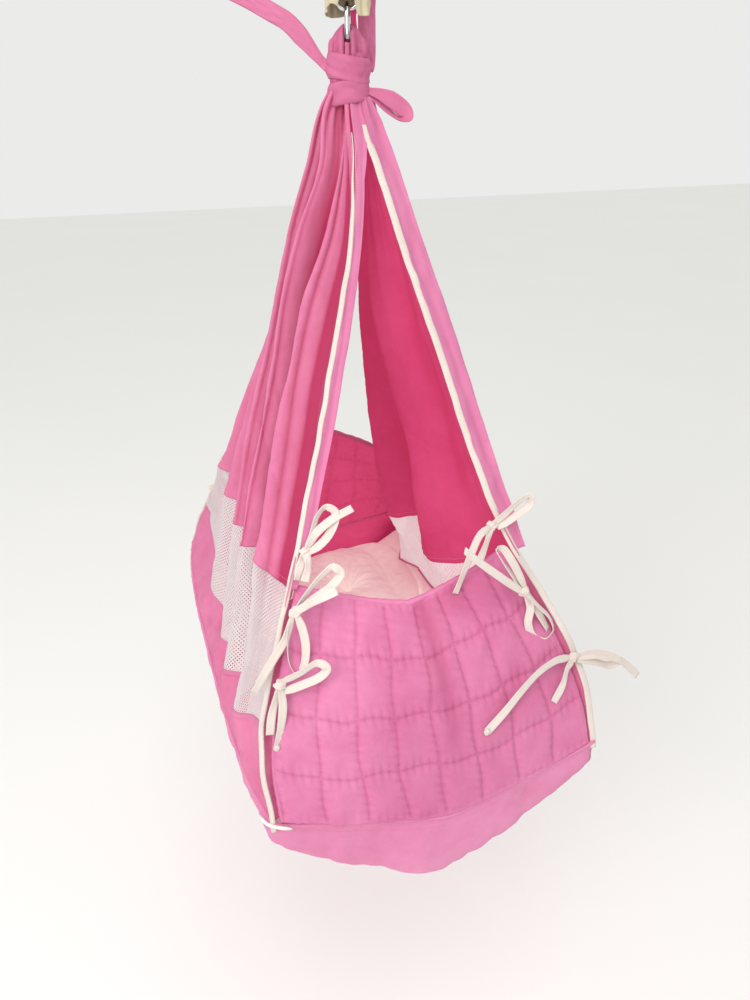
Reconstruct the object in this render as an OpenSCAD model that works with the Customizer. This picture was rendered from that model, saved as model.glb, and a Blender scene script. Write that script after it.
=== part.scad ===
// Hanging baby cradle: a gathered cloth sling with quilted end flaps and mesh windows,
// hung from a sprung, swivelling suspension. Origin at the centre of the hanging eye, +Z up,
// X across the cradle, Y along it with the foot end at -Y. Millimetres.

/* [Cradle] */
// Height from the base seam up to the centre of the hanging eye
hang_h = 1010; // [1000:1:1020]
// Half of the cradle's width at the base seam
half_w = 194; // [188:1:200]
// Half of the cradle's length at the base seam
half_l = 320; // [310:1:330]
// Height of the lower edge of the mesh windows above the base seam
mesh_low = 90; // [80:1:100]
// Height of the upper edge of the mesh windows above the base seam
mesh_high = 208; // [200:1:220]
// Thickness of the single cloth panels
cloth_t = 2; // [1.5:0.1:3]
// Thickness of the quilted flaps
quilt_t = 5; // [4:0.5:6]
// Width of the edge binding
bind_w = 7; // [6:0.5:9]
// Greatest width of the left panel's edge facings
facing_left = 14; // [8:1:16]
// Greatest width of the right panel's edge facings
facing_right = 25; // [16:1:28]

/* [Base and bedding] */
// How far the base seam dips at the middle of each end
seam_dip = 36; // [30:1:42]
// Depth of the base band below the seam at the corners
band_corner = 37; // [32:1:42]
// Depth of the base below the seam plane along the keel
keel_depth = 132; // [126:1:138]
// Thickness of the foam mattress
mattress_t = 15; // [12:1:20]
// Width and length of the tufted pillow
pillow_d = 230; // [210:5:240]

/* [Ties] */
// Width of the tie tapes
tape_w = 9; // [8:0.5:11]
// Heights of the three ties on the left edges
ties_left = [128, 190, 245];
// Heights of the three ties on the right edges
ties_right = [88, 163, 235];

/* [Suspension] */
// Turn of the hook, ring and link about the vertical
hook_turn = 18; // [0:1:20]
// Radius of the hole in the hanging eye
eye_r = 9; // [9:0.5:10]
// Mean radius of the spring's coil
coil_r = 16; // [15.5:0.1:16.5]
// Radius of the spring's wire
wire_r = 1.75; // [1.6:0.05:1.8]
// Turns in the closed coil
turns = 30; // [28:1:30]
// Outer radius of the cotton sleeve
sleeve_r = 22; // [21.5:0.5:24]
// Radius of the link ring's wire
ring_wire = 2; // [1.8:0.1:2]
// Radius of the snap link's wire
link_wire = 3; // [2.8:0.1:3]

/* [Hidden] */
$fn = 48;

pink = [0.90, 0.45, 0.66];
deep_pink = [0.80, 0.28, 0.50];
cream = [0.95, 0.92, 0.86];
beige = [0.85, 0.80, 0.68];
steel = [0.75, 0.76, 0.78];
mesh_c = [0.93, 0.86, 0.88];

Z0 = -hang_h;
knot_h = 681;   // underside of the wrap
wrap_top = 727; // top of the wrap
bundle_r = 20.5;

// Edge of a side panel (middle of the binding): half width and half length by height above the base seam.
edge_w = [[-10, half_w], [0, half_w], [60, half_w + 2], [90, 190], [130, 175], [170, 156], [210, 136], [260, 115], [320, 95], [380, 76], [440, 59], [500, 42], [560, 26], [620, 14], [650, 9], [681, 7], [700, 6]];
edge_l = [[-10, half_l + 3], [0, half_l], [30, 305], [60, 288], [90, 269], [130, 246], [170, 220], [210, 194], [260, 173], [320, 158], [380, 146], [440, 131], [500, 112], [560, 89], [620, 58], [660, 32], [681, 20], [700, 18]];
// How far the middle of a panel stands out from the line between its edges: the right side falls inwards.
bulge_l = [[-10, 20], [0, 20], [90, 22], [210, 32], [330, 31], [490, 27], [620, 20], [660, 16.5], [681, 16], [700, 16]];
bulge_r = [[-10, 20], [0, 20], [30, 6], [90, -42], [210, -34], [330, -12], [490, 6], [620, 16], [660, 16.5], [681, 16], [700, 16]];
bulge_e = [[-10, 3.5], [0, 3.5], [90, 2.4], [681, 2]];
// How far the slack cloth hangs lower at the middle than at the edges.
dip_l = [[0, 0], [90, 38], [210, 14], [400, 0], [700, 0]];
dip_r = [[0, 0], [90, 66], [210, 58], [400, 24], [600, 0], [700, 0]];

function unit(v) = v / norm(v);
function smax(h) = 1 - (bind_w / 2 + 0.3) / lookup(h, edge_l);
// A point of the side surface: sd is -1 left or 1 right, s runs along the cradle from -1 (foot) to 1 (head).
function side(sd, s, h) = let(m = 1 - pow(abs(s), lookup(h, bulge_e))) [sd * (lookup(h, edge_w) + lookup(h, sd < 0 ? bulge_l : bulge_r) * m), lookup(h, edge_l) * s, h - lookup(h, sd < 0 ? dip_l : dip_r) * m + Z0];
function side_pn(sd, s, h) = let(ds = side(sd, s + 0.01, h) - side(sd, s - 0.01, h), dh = side(sd, s, h + 2) - side(sd, s, h - 2)) [side(sd, s, h), unit(cross(ds, dh))];

// A closed sheet of thickness t about a grid of [point, normal].
module thick_grid(g, t) {
  m = len(g); n = len(g[0]); k = m * n;
  pts = [for (q = [0, 1]) for (i = [0:m - 1]) for (j = [0:n - 1]) g[i][j][0] + g[i][j][1] * (q == 0 ? t / 2 : -t / 2)];
  a = function (i, j) i * n + j;
  faces = concat(
    [for (i = [0:m - 2]) for (j = [0:n - 2]) each [[a(i, j), a(i, j + 1), a(i + 1, j + 1)], [a(i, j), a(i + 1, j + 1), a(i + 1, j)]]],
    [for (i = [0:m - 2]) for (j = [0:n - 2]) each [[k + a(i, j), k + a(i + 1, j + 1), k + a(i, j + 1)], [k + a(i, j), k + a(i + 1, j), k + a(i + 1, j + 1)]]],
    [for (j = [0:n - 2]) each [[a(0, j + 1), a(0, j), k + a(0, j)], [a(0, j + 1), k + a(0, j), k + a(0, j + 1)]]],
    [for (j = [0:n - 2]) each [[a(m - 1, j), a(m - 1, j + 1), k + a(m - 1, j + 1)], [a(m - 1, j), k + a(m - 1, j + 1), k + a(m - 1, j)]]],
    [for (i = [0:m - 2]) each [[a(i, 0), a(i + 1, 0), k + a(i + 1, 0)], [a(i, 0), k + a(i + 1, 0), k + a(i, 0)]]],
    [for (i = [0:m - 2]) each [[a(i + 1, n - 1), a(i, n - 1), k + a(i, n - 1)], [a(i + 1, n - 1), k + a(i, n - 1), k + a(i + 1, n - 1)]]]);
  polyhedron(pts, [for (f = faces) [f[2], f[1], f[0]]], convexity = 8);
}

// A strip of a side panel between two heights; cols are fractions of the clear length.
module side_sheet(sd, hs, cols, t) {
  thick_grid([for (h = hs) [for (c = cols) side_pn(sd, c * smax(h), h)]], t);
}
function span(a, b, n) = [for (i = [0:n]) a + (b - a) * i / n];

low_hs = span(0, mesh_low, 3);
mesh_hs = span(mesh_low + 0.3, mesh_high - 0.3, 3);
up_hs = concat([mesh_high, 234], span(260, 620, 9), [650, knot_h - 1.5]);
module upper_panel(sd) color(sd < 0 ? pink : deep_pink)
  side_sheet(sd, up_hs, span(-1, 1, 16), cloth_t);
module mesh_window(sd) color(mesh_c) side_sheet(sd, mesh_hs, span(-1, 1, 16), 1.5);
module lower_panel(sd) color(pink) side_sheet(sd, low_hs, span(-1, 1, 16), cloth_t);

bind_hs = concat([for (i = [0:2]) low_hs[i]], [for (i = [0:2]) mesh_hs[i]], up_hs);
// Binding along one edge: sd is the side, en is -1 at the foot and 1 at the head.
module binding(sd, en) color(cream)
  thick_grid([for (h = bind_hs) let(l = lookup(h, edge_l), lo = 1 - bind_w / 2 / l, hi = 1 + bind_w / 2 / l) [for (s = (en < 0 ? [-hi, -1, -lo] : [lo, 1, hi])) side_pn(sd, s, h)]], 3);
// Facing strip along the binding, folded over towards +X, from the top tie up to the neck.
face_taper = [[mesh_high, 0.55], [mesh_high + 40, 0.9], [380, 1], [500, 0.8], [560, 0.6], [650, 0.12]];
module facing(sd, en) color(deep_pink)
  thick_grid([for (h = [for (q = up_hs) if (q < 660) q]) let(p = side(sd, en, h), w = lookup(h, face_taper) * (sd < 0 ? facing_left : facing_right))
    [for (k = [0, 0.5, 1]) [p + [2.4 + w * k, -en * (sd < 0 ? 0.1 : 0.25) * w * k, 0], [0, -1, 0]]]], 1.6);

// Quilted end flaps: keel profile [length, height] from the seam up, and the free side edge. The foot flap sags, the head flap stands up.
foot_keel = [[0, [338, -33.4]], [0.25, [309, 22]], [0.5, [281, 75]], [0.75, [248, 125]], [1, [206, 168]]];
foot_edge = [[0, [186, 322, 2.6]], [0.25, [186, 290, 50]], [0.5, [172, 256, 104]], [0.75, [150, 222, 156]], [1, [128, 186, 203]]];
head_keel = [[0, [338, -33.4]], [0.25, [318, 30]], [0.5, [290, 96]], [0.75, [252, 162]], [1, [204, 226]]];
head_edge = [[0, [186, 322, 2.6]], [0.25, [184, 292, 46]], [0.5, [168, 262, 92]], [0.75, [150, 230, 128]], [1, [134, 196, 160]]];
function lerp_rows(t, v) = let(i = min(3, floor(v * 4)), f = v * 4 - i) t[i][1] * (1 - f) + t[i + 1][1] * f;
function flap(en, u, v) = let(k = lerp_rows(en < 0 ? foot_keel : head_keel, v), e = lerp_rows(en < 0 ? foot_edge : head_edge, v), g = pow(abs(u), 1.3), swell = 16 * sin(180 * min(1, v + 0.05)) * sin(180 * abs(u)))
  [e[0] * u, en * (k[0] * (1 - g) + e[1] * g + swell * 0.8), k[1] * (1 - g) + e[2] * g - swell * 0.5 + Z0];
function flap_pn(en, u, v) = let(a = flap(en, u + 0.01, v) - flap(en, u - 0.01, v), b = flap(en, u, min(1, v + 0.02)) - flap(en, u, max(0, v - 0.02))) [flap(en, u, v), unit(cross(a, b))];
module end_flap(en) color(en < 0 ? pink : deep_pink) thick_grid([for (v = span(0, 1, 8)) [for (u = span(-1, 1, 14)) flap_pn(en, u, v)]], quilt_t);

// Base: plan half width by y, keel height by x.
function plan_w(y, off) = (half_w + lookup(0, bulge_l) * (1 - pow(min(1, abs(y) / half_l), 3.5)) - off);
function plan_l(u, off) = half_l + 18 * (1 - abs(u)) - off;
function base_z(u) = -band_corner - (keel_depth - band_corner) * (1 - pow(abs(u), 1.5));
function seam_z(u) = -seam_dip * (1 - pow(abs(u), 1.3));
us = span(-1, 1, 12);
ys = span(-1, 1, 14);
// A loft over the base's plan: zl(u, t) is its underside and zh(u, t) its top, t running from -1 at the foot to 1 at the head.
module plan_loft(off, zl, zh, su = 1, sy = 1, cy = 0, cx = 0) {
  n = len(us); m = len(ys); k = n * m;
  pt = function (u, t) let(y = plan_l(u, off) * t * sy) [plan_w(y, off) * u * su + cx, y + cy];
  pts = concat([for (t = ys) for (u = us) let(p = pt(u, t)) [p[0], p[1], zl(u, t) + Z0]], [for (t = ys) for (u = us) let(p = pt(u, t)) [p[0], p[1], zh(u, t) + Z0]]);
  a = function (i, j) i * n + j;
  polyhedron(pts, concat(
    [for (i = [0:m - 2]) for (j = [0:n - 2]) each [[a(i, j), a(i, j + 1), a(i + 1, j + 1)], [a(i, j), a(i + 1, j + 1), a(i + 1, j)]]],
    [for (i = [0:m - 2]) for (j = [0:n - 2]) each [[k + a(i, j), k + a(i + 1, j + 1), k + a(i, j + 1)], [k + a(i, j), k + a(i + 1, j), k + a(i + 1, j + 1)]]],
    [for (j = [0:n - 2]) each [[a(0, j + 1), a(0, j), k + a(0, j)], [a(0, j + 1), k + a(0, j), k + a(0, j + 1)]]],
    [for (j = [0:n - 2]) each [[a(m - 1, j), a(m - 1, j + 1), k + a(m - 1, j + 1)], [a(m - 1, j), k + a(m - 1, j + 1), k + a(m - 1, j)]]],
    [for (i = [0:m - 2]) each [[a(i, 0), a(i + 1, 0), k + a(i + 1, 0)], [a(i, 0), k + a(i + 1, 0), k + a(i, 0)]]],
    [for (i = [0:m - 2]) each [[a(i + 1, n - 1), a(i, n - 1), k + a(i, n - 1)], [a(i + 1, n - 1), k + a(i, n - 1), k + a(i + 1, n - 1)]]]), convexity = 6);
}
module base_cover() color(pink) difference() {
  plan_loft(0, function (u, t) base_z(u), function (u, t) seam_z(u) - 0.4);
  plan_loft(cloth_t, function (u, t) base_z(u) + cloth_t, function (u, t) 20);
}
floor_lift = cloth_t + 0.4;
module mattress() color([0.93, 0.80, 0.84])
  plan_loft(5, function (u, t) base_z(u) + floor_lift, function (u, t) base_z(u) + floor_lift + mattress_t * (0.75 + 0.25 * (1 - pow(max(abs(u), abs(t)), 6))));

// Pillow: rings from the middle to the rim, above the mattress, crowned over the valley.
pil_c = [22, 128];
function bed_z(x) = base_z(x / plan_w(0, 5)) + floor_lift + mattress_t + 2;
function pil_xy(r, a) = let(q = pow(pow(abs(cos(a)), 3) + pow(abs(sin(a)), 3), -1 / 3)) [pil_c[0] + pillow_d / 2 * r * q * cos(a) * 0.95, pil_c[1] + pillow_d / 2 * r * q * sin(a) * 0.95];
module pillow() color([0.93, 0.80, 0.80]) {
  rs = [0.25, 0.5, 0.75, 0.92, 1]; na = 24; nr = len(rs);
  low = function (r, p) bed_z(p[0]) + 14 * pow(r, 4);
  top = function (r, p) max(bed_z(p[0]) + 22, bed_z(0) + 75 * (1 - pow(r, 3) * 0.7) - 10 * exp(-r * r * 30));
  top2 = function (r, p) max(top(r, p), low(r, p) + 4);
  pts = concat([[pil_c[0], pil_c[1], low(0, pil_c) + Z0]], [for (r = rs) for (i = [0:na - 1]) let(p = pil_xy(r, i * 360 / na)) [p[0], p[1], low(r, p) + Z0]],
    [[pil_c[0], pil_c[1], top2(0, pil_c) + Z0]], [for (r = rs) for (i = [0:na - 1]) let(p = pil_xy(r, i * 360 / na)) [p[0], p[1], top2(r, p) + Z0]]);
  b = 1; tc = 1 + nr * na; tb = tc + 1;
  polyhedron(pts, concat(
    [for (i = [0:na - 1]) [0, b + i, b + (i + 1) % na]],
    [for (k = [0:nr - 2]) for (i = [0:na - 1]) let(i2 = (i + 1) % na) each [[b + k * na + i, b + (k + 1) * na + i, b + (k + 1) * na + i2], [b + k * na + i, b + (k + 1) * na + i2, b + k * na + i2]]],
    [for (i = [0:na - 1]) [tc, tb + (i + 1) % na, tb + i]],
    [for (k = [0:nr - 2]) for (i = [0:na - 1]) let(i2 = (i + 1) % na) each [[tb + k * na + i, tb + (k + 1) * na + i2, tb + (k + 1) * na + i], [tb + k * na + i, tb + k * na + i2, tb + (k + 1) * na + i2]]],
    [for (i = [0:na - 1]) let(i2 = (i + 1) % na, q = (nr - 1) * na) each [[b + q + i, tb + q + i, tb + q + i2], [b + q + i, tb + q + i2, b + q + i2]]]), convexity = 4);
}

// Suspension heights above the base seam.
ring_r = 12;
ring_low = 769;                                   // lower wire of the ring
ring_c = ring_low + ring_r;
hook_r = 8;
hook_low = ring_c + ring_r - ring_wire - wire_r - 0.15;
hook_c = hook_low + hook_r;
link_r = 11;
link_top = ring_low + ring_wire + link_wire + 0.2;
link_bot = 735.5;
sleeve_low = 767;
eye2_z = -60;                                     // lower eye of the swivel
uhook_top = eye2_z - 6 + wire_r + 0.6;
uhook_c = uhook_top - hook_r;
coil_top = uhook_c - hook_r - 3.9;
coil_bot = hook_c + hook_r + 3.9 + Z0;

module hw() rotate([0, 0, -hook_turn]) children();
module torus(R, r) rotate_extrude($fn = 64) translate([R, 0]) circle(r, $fn = 24);

module swivel_eye() color(steel) {
  difference() {
    union() {
      rotate([90, 0, 0]) cylinder(r = 16, h = 10, center = true);
      translate([0, 0, -18]) cylinder(r = 7, h = 8);
      translate([0, 0, -31]) cylinder(r = 4, h = 16);
    }
    rotate([90, 0, 0]) cylinder(r = eye_r, h = 30, center = true);
  }
}
module swivel_nut() color(steel) translate([0, 0, -31]) difference() { cylinder(r = 6.8, h = 4, $fn = 6); translate([0, 0, -1]) cylinder(r = 4, h = 6); }
module swivel_washer() color([0.8, 0.65, 0.3]) translate([0, 0, -26.8]) difference() { cylinder(r = 7.4, h = 1.6); translate([0, 0, -1]) cylinder(r = 4.3, h = 4); }
module swivel_housing() color(steel) difference() {
  translate([0, 0, -45]) cylinder(r = 11, h = 26);
  translate([0, 0, -46]) cylinder(r = 8, h = 21);
  translate([0, 0, -30]) cylinder(r = 4.06, h = 20);
}
module swivel_lower_eye() color(steel) difference() {
  union() {
    translate([0, 0, -45]) cylinder(r = 8, h = 6);
    translate([0, 0, -48.5]) cylinder(r = 11, h = 3.5);
    intersection() { translate([0, 0, eye2_z]) rotate([90, 0, 0]) cylinder(r = 12, h = 5, center = true); translate([0, 0, -80]) cylinder(r = 30, h = 32); }
  }
  translate([0, 0, eye2_z]) rotate([90, 0, 0]) cylinder(r = 6, h = 30, center = true);
}
// A spring end: closed coil, cross bar, post and round hook, the hook away from the coil.
module spring_end(dir) {
  torus(coil_r, wire_r);
  rotate([90, 0, 0]) cylinder(r = wire_r, h = coil_r * 2, center = true);
  translate([0, 0, dir > 0 ? 0 : -4.6]) cylinder(r = wire_r, h = 4.6);
  translate([0, 0, dir * (3.9 + hook_r)]) rotate([0, 90, 0]) torus(hook_r, wire_r);
}
module spring_upper_hook() color(steel) translate([0, 0, coil_top]) spring_end(1);
module spring_lower_hook() color(steel) hw() translate([0, 0, coil_bot]) spring_end(-1);
module spring_coil() color(steel) {
  n = 12; ns = 6; lo = coil_bot + 2 * wire_r + 0.15; hi = coil_top - 2 * wire_r - 0.15; N = turns * n;
  ring = function (i) let(a = i * 360 / n, z = hi - (hi - lo) * i / N) [for (k = [0:ns - 1]) let(b = k * 360 / ns, rr = coil_r + wire_r * cos(b)) [rr * cos(a), rr * sin(a), z + wire_r * 0.97 * sin(b)]];
  pts = [for (i = [0:N]) each ring(i)];
  polyhedron(pts, concat([[for (k = [0:ns - 1]) ns - 1 - k]], [for (i = [0:N - 1]) for (k = [0:ns - 1]) let(k2 = (k + 1) % ns) each [[i * ns + k, (i + 1) * ns + k2, (i + 1) * ns + k], [i * ns + k, i * ns + k2, (i + 1) * ns + k2]]], [[for (k = [0:ns - 1]) N * ns + k]]), convexity = 10);
}
module spring_sleeve() color(beige) {
  b = sleeve_low + Z0; R = sleeve_r;
  rotate_extrude($fn = 64) polygon([[R - 1.5, b], [R, b], [R, -87.5], [R - 2, -81.2], [16.4, -75.6], [14, -70], [14, -58], [12.5, -58], [12.5, -70.5], [14.8, -76.6], [R - 3.4, -82], [R - 1.5, -88]]);
}
module sleeve_band() color(cream) translate([0, 0, -68]) difference() { cylinder(r = 15.6, h = 7); translate([0, 0, -1]) cylinder(r = 14, h = 9); }
module link_ring() color(steel) hw() translate([0, 0, ring_c + Z0]) rotate([90, 0, 0]) torus(ring_r, ring_wire);

gate_y = link_r; gate_z = link_bot + link_r + 1.2 + Z0; gate_top = link_top - link_r + Z0 + 1.5;
// Middle line of the link's bent wire, from above the gate round the back to below it.
link_path = concat([for (a = [8, 22, 38, 54, 72, 90, 108, 126, 144, 162, 180]) [0, link_r * cos(a), link_r * sin(a) + link_top - link_r + Z0]],
  [for (a = [180, 198, 216, 234, 252, 270, 288, 306, 324, 342, 360]) [0, link_r * cos(a), link_r * sin(a) + link_bot + link_r + Z0]], [[0, link_r, gate_z + 2]]);
module snap_link_body() color(steel) hw() {
  difference() {
    let(p = link_path, n = len(p), ns = 16) polyhedron(
      [for (i = [0:n - 1]) let(t = unit(p[min(n - 1, i + 1)] - p[max(0, i - 1)]), w = unit(cross([1, 0, 0], t))) each [for (k = [0:ns - 1]) p[i] + link_wire * ([cos(k * 360 / ns), 0, 0] + w * sin(k * 360 / ns))]],
      concat([[for (k = [0:ns - 1]) ns - 1 - k]], [for (i = [0:n - 2]) for (k = [0:ns - 1]) let(k2 = (k + 1) % ns) each [[i * ns + k, i * ns + k2, (i + 1) * ns + k2], [i * ns + k, (i + 1) * ns + k2, (i + 1) * ns + k]]], [[for (k = [0:ns - 1]) (n - 1) * ns + k]]), convexity = 6);
    // slot for the gate's tongue
    translate([-1.3, gate_y - 5, gate_z - 3]) cube([2.6, 12, 12]);
    // pin hole
    translate([0, gate_y, gate_z]) rotate([0, 90, 0]) cylinder(r = 0.9, h = 12, center = true);
  }
}
module snap_link_gate() color(steel) hw() difference() {
  union() {
    translate([0, gate_y, gate_z + 3.2]) cylinder(r = 2.5, h = gate_top - gate_z - 4.5);
    translate([-1.15, gate_y - 1.6, gate_z - 1.2]) cube([2.3, 3.2, 5.4]);
  }
  translate([0, gate_y, gate_z]) rotate([0, 90, 0]) cylinder(r = 0.95, h = 12, center = true);
  translate([0, gate_y, gate_z + 4]) cylinder(r = 1.5, h = 8);
}
module gate_pin() color(steel) hw() translate([0, gate_y, gate_z]) rotate([0, 90, 0]) cylinder(r = 0.9, h = 5.4, center = true);
module gate_spring() color(steel) hw() translate([0, gate_y, gate_z + 4.1]) rotate_extrude($fn = 32) union() { for (i = [0:8]) translate([1.05, 0.4 + i * 0.86]) circle(0.36, $fn = 16); translate([0.95, 0.3]) square([0.2, 7.1]); }

// Gathered head of the cloth: a bundle inside the wrap, then an arch over the link's lower bow.
module head_loop() color(pink) difference() {
  union() {
    translate([0, 0, knot_h + Z0]) cylinder(r = bundle_r, h = wrap_top - knot_h);
    translate([0, 0, wrap_top + Z0]) cylinder(r1 = bundle_r, r2 = 17, h = 4.6);
    hw() translate([0, 4.8, 731 + Z0]) rotate([90, 0, 0]) linear_extrude(9.6) hull() { translate([-19, 0]) square([38, 6]); translate([-9, 14]) circle(8, $fn = 32); translate([9, 14]) circle(8, $fn = 32); translate([0, 18]) circle(8, $fn = 32); }
  }
  hw() translate([0, 0, link_bot + link_r + Z0]) rotate([0, 90, 0]) rotate([0, 0, -90]) rotate_extrude(angle = 180, $fn = 64) translate([link_r, 0]) circle(link_wire + 0.3, $fn = 24);
  hw() translate([0, 0, link_bot + link_r + Z0]) rotate([0, 90, 0]) rotate([0, 0, 90]) rotate_extrude(angle = 60, $fn = 64) translate([link_r, 0]) circle(link_wire + 0.3, $fn = 24);
}
module band(lo, hi, r) translate([0, 0, lo + Z0]) difference() { cylinder(r = r, h = hi - lo); translate([0, 0, -1]) cylinder(r = bundle_r, h = hi - lo + 2); }
module wrap_lower_band() color(pink) band(knot_h + 0.2, 703.5, 23);
module wrap_upper_band() color(pink) band(703.8, wrap_top, 24);

// A flat loop of tape: outline of a drop shape l long and w wide, wall t, tape width b.
module tape_loop(l, w, t, b) translate([0, 0, -b / 2]) linear_extrude(b) difference() {
  hull() { translate([1, 0]) circle(1.6, $fn = 16); translate([l - w / 2, 0]) circle(w / 2, $fn = 24); }
  hull() { translate([4, 0]) circle(0.5, $fn = 16); translate([l - w / 2, 0]) circle(w / 2 - t, $fn = 24); }
}
module wrap_bow_loop() color(pink) hw() translate([21.5, 12, 692 + Z0]) rotate([0, 38, 12]) rotate([90, 0, 0]) tape_loop(44, 14, 1.6, 16);

// A flat strap swept along route points: half width a, half thickness b, face direction f.
module strap(p, f, a, b) {
  n = len(p); ns = 8;
  pts = [for (i = [0:n - 1]) let(t = unit(p[min(n - 1, i + 1)] - p[max(0, i - 1)]), w = unit(cross(f, t)), d = unit(cross(t, w))) each [for (k = [0:ns - 1]) let(q = k * 360 / ns + 22.5) p[i] + w * a * cos(q) + d * b * sin(q)]];
  polyhedron(pts, concat([[for (k = [0:ns - 1]) k]], [for (i = [0:n - 2]) for (k = [0:ns - 1]) let(k2 = (k + 1) % ns) each [[i * ns + k, (i + 1) * ns + k2, i * ns + k2], [i * ns + k, (i + 1) * ns + k, (i + 1) * ns + k2]]], [[for (k = [0:ns - 1]) (n - 1) * ns + ns - 1 - k]]), convexity = 4);
}
// Strap routes in the hardware's turned frame: across, towards the back, height above the base seam.
left_route = [[-25, 0, 719], [-33, 0, 727], [-47, 0, 743], [-62, 0, 758], [-80, 1, 768], [-101, 2, 779], [-121, 3, 788], [-140, 4, 795]];
right_route = [[19, 19, 719], [20, 25, 732], [20, 31, 746], [20, 35, 760], [20, 38, 774], [21, 40, 788], [21, 41, 797]];
module left_strap_tail() color(pink) hw() strap([for (q = left_route) [q[0], q[1], q[2] + Z0]], [0, 1, 0], 10, 1.3);
module right_strap_tail() color(pink) hw() strap([for (q = right_route) [q[0], q[1], q[2] + Z0]], [0, 1, 0], 10, 1.3);

// A tied tape bow: knot, two loops and two tails, its middle at the origin, facing -Y, tape edges along Y.
module bow(l1, a1, l2, a2, t1, b1, t2, b2) color(cream) {
  rotate([90, 0, 0]) linear_extrude(tape_w + 1, center = true) offset(2) square([7, 5], center = true);
  rotate([0, -a1, 0]) translate([5, 0, 0]) rotate([90, 0, 0]) tape_loop(l1, 14, 1, tape_w);
  rotate([0, -a2, 0]) translate([5, 0, 0]) rotate([90, 0, 0]) tape_loop(l2, 14, 1, tape_w);
  rotate([0, -b1, 0]) translate([4, -tape_w / 2, -0.6]) cube([t1, tape_w, 1.2]);
  rotate([0, -b2, 0]) translate([4, -tape_w / 2, -0.6]) cube([t2, tape_w, 1.2]);
}
// A tie stands just outside the binding of side sd and end en, at height h.
module tie(sd, en, h, l1, a1, l2, a2, t1, b1, t2, b2) {
  p = side(sd, en, h); o = tape_w / 2 + 6;
  lean = atan2(lookup(h - 30, edge_l) - lookup(h + 30, edge_l), 60);
  translate([p[0], p[1] + en * (bind_w / 2 + o) / cos(lean), p[2]]) rotate([en * lean, 0, 0]) bow(l1, a1, l2, a2, t1, b1, t2, b2);
}
module tie_foot_left_low() tie(-1, -1, ties_left[0], 42, 25, 40, 115, 62, -88, 40, -130);
module tie_foot_left_mid() tie(-1, -1, ties_left[1], 44, 35, 44, -75, 44, 10, 60, -115);
module tie_foot_left_top() tie(-1, -1, ties_left[2], 40, 60, 30, 110, 52, 38, 30, -95);
module tie_foot_right_low() tie(1, -1, ties_right[0], 40, 20, 36, -105, 78, -26, 92, -150);
module tie_foot_right_mid() tie(1, -1, ties_right[1], 42, 118, 44, -70, 52, 165, 34, -20);
module tie_foot_right_top() tie(1, -1, ties_right[2], 40, 32, 34, 150, 62, -115, 34, -140);
module tie_head_left_low() tie(-1, 1, ties_left[0], 40, 30, 40, 150, 60, -60, 55, -120);
module tie_head_left_mid() tie(-1, 1, ties_left[1], 40, 20, 42, 140, 55, -70, 60, -110);
module tie_head_left_top() tie(-1, 1, ties_left[2], 38, 35, 38, 145, 50, -50, 55, -125);
module tie_head_right_low() tie(1, 1, ties_right[0], 40, 35, 40, 155, 60, -55, 60, -120);
module tie_head_right_mid() tie(1, 1, ties_right[1], 42, 25, 40, 150, 55, -65, 55, -115);
module tie_head_right_top() tie(1, 1, ties_right[2], 38, 40, 40, 140, 55, -60, 50, -120);

swivel_eye();
swivel_nut();
swivel_washer();
swivel_housing();
swivel_lower_eye();
spring_upper_hook();
spring_coil();
spring_lower_hook();
spring_sleeve();
sleeve_band();
link_ring();
snap_link_body();
snap_link_gate();
gate_pin();
gate_spring();
head_loop();
wrap_lower_band();
wrap_upper_band();
wrap_bow_loop();
left_strap_tail();
right_strap_tail();
upper_panel(-1);  // left_upper_panel
upper_panel(1);  // right_upper_panel
mesh_window(-1);  // left_mesh_window
mesh_window(1);  // right_mesh_window
lower_panel(-1);  // left_lower_panel
lower_panel(1);  // right_lower_panel
binding(-1, -1);  // left_foot_binding
binding(1, -1);  // right_foot_binding
binding(-1, 1);  // left_head_binding
binding(1, 1);  // right_head_binding
facing(-1, -1);  // left_foot_facing
facing(1, -1);  // right_foot_facing
facing(-1, 1);  // left_head_facing
facing(1, 1);  // right_head_facing
end_flap(-1);  // foot_flap
end_flap(1);  // head_flap
base_cover();
mattress();
pillow();
tie_foot_left_low();
tie_foot_left_mid();
tie_foot_left_top();
tie_foot_right_low();
tie_foot_right_mid();
tie_foot_right_top();
tie_head_left_low();
tie_head_left_mid();
tie_head_left_top();
tie_head_right_low();
tie_head_right_mid();
tie_head_right_top();
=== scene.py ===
import math

import bpy
import numpy as np
from mathutils import Matrix, Vector

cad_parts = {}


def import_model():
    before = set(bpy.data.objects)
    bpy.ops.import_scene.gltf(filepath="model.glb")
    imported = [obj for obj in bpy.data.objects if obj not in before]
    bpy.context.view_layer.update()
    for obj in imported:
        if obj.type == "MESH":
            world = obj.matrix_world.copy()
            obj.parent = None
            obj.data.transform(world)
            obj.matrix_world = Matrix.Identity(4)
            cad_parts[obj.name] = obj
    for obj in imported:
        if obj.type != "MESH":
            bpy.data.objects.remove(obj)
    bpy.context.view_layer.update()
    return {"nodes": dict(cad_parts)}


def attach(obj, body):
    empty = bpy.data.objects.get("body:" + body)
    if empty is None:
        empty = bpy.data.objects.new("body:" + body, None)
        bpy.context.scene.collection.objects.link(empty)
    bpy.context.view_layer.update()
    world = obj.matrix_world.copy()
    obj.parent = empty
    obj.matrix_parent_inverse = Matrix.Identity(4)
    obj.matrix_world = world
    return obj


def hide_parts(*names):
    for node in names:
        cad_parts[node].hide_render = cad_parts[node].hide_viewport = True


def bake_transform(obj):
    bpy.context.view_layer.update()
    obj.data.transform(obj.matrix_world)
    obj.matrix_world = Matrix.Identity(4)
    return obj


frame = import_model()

NODES = frame["nodes"]
RES = 1.0      # mesh fineness
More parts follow.
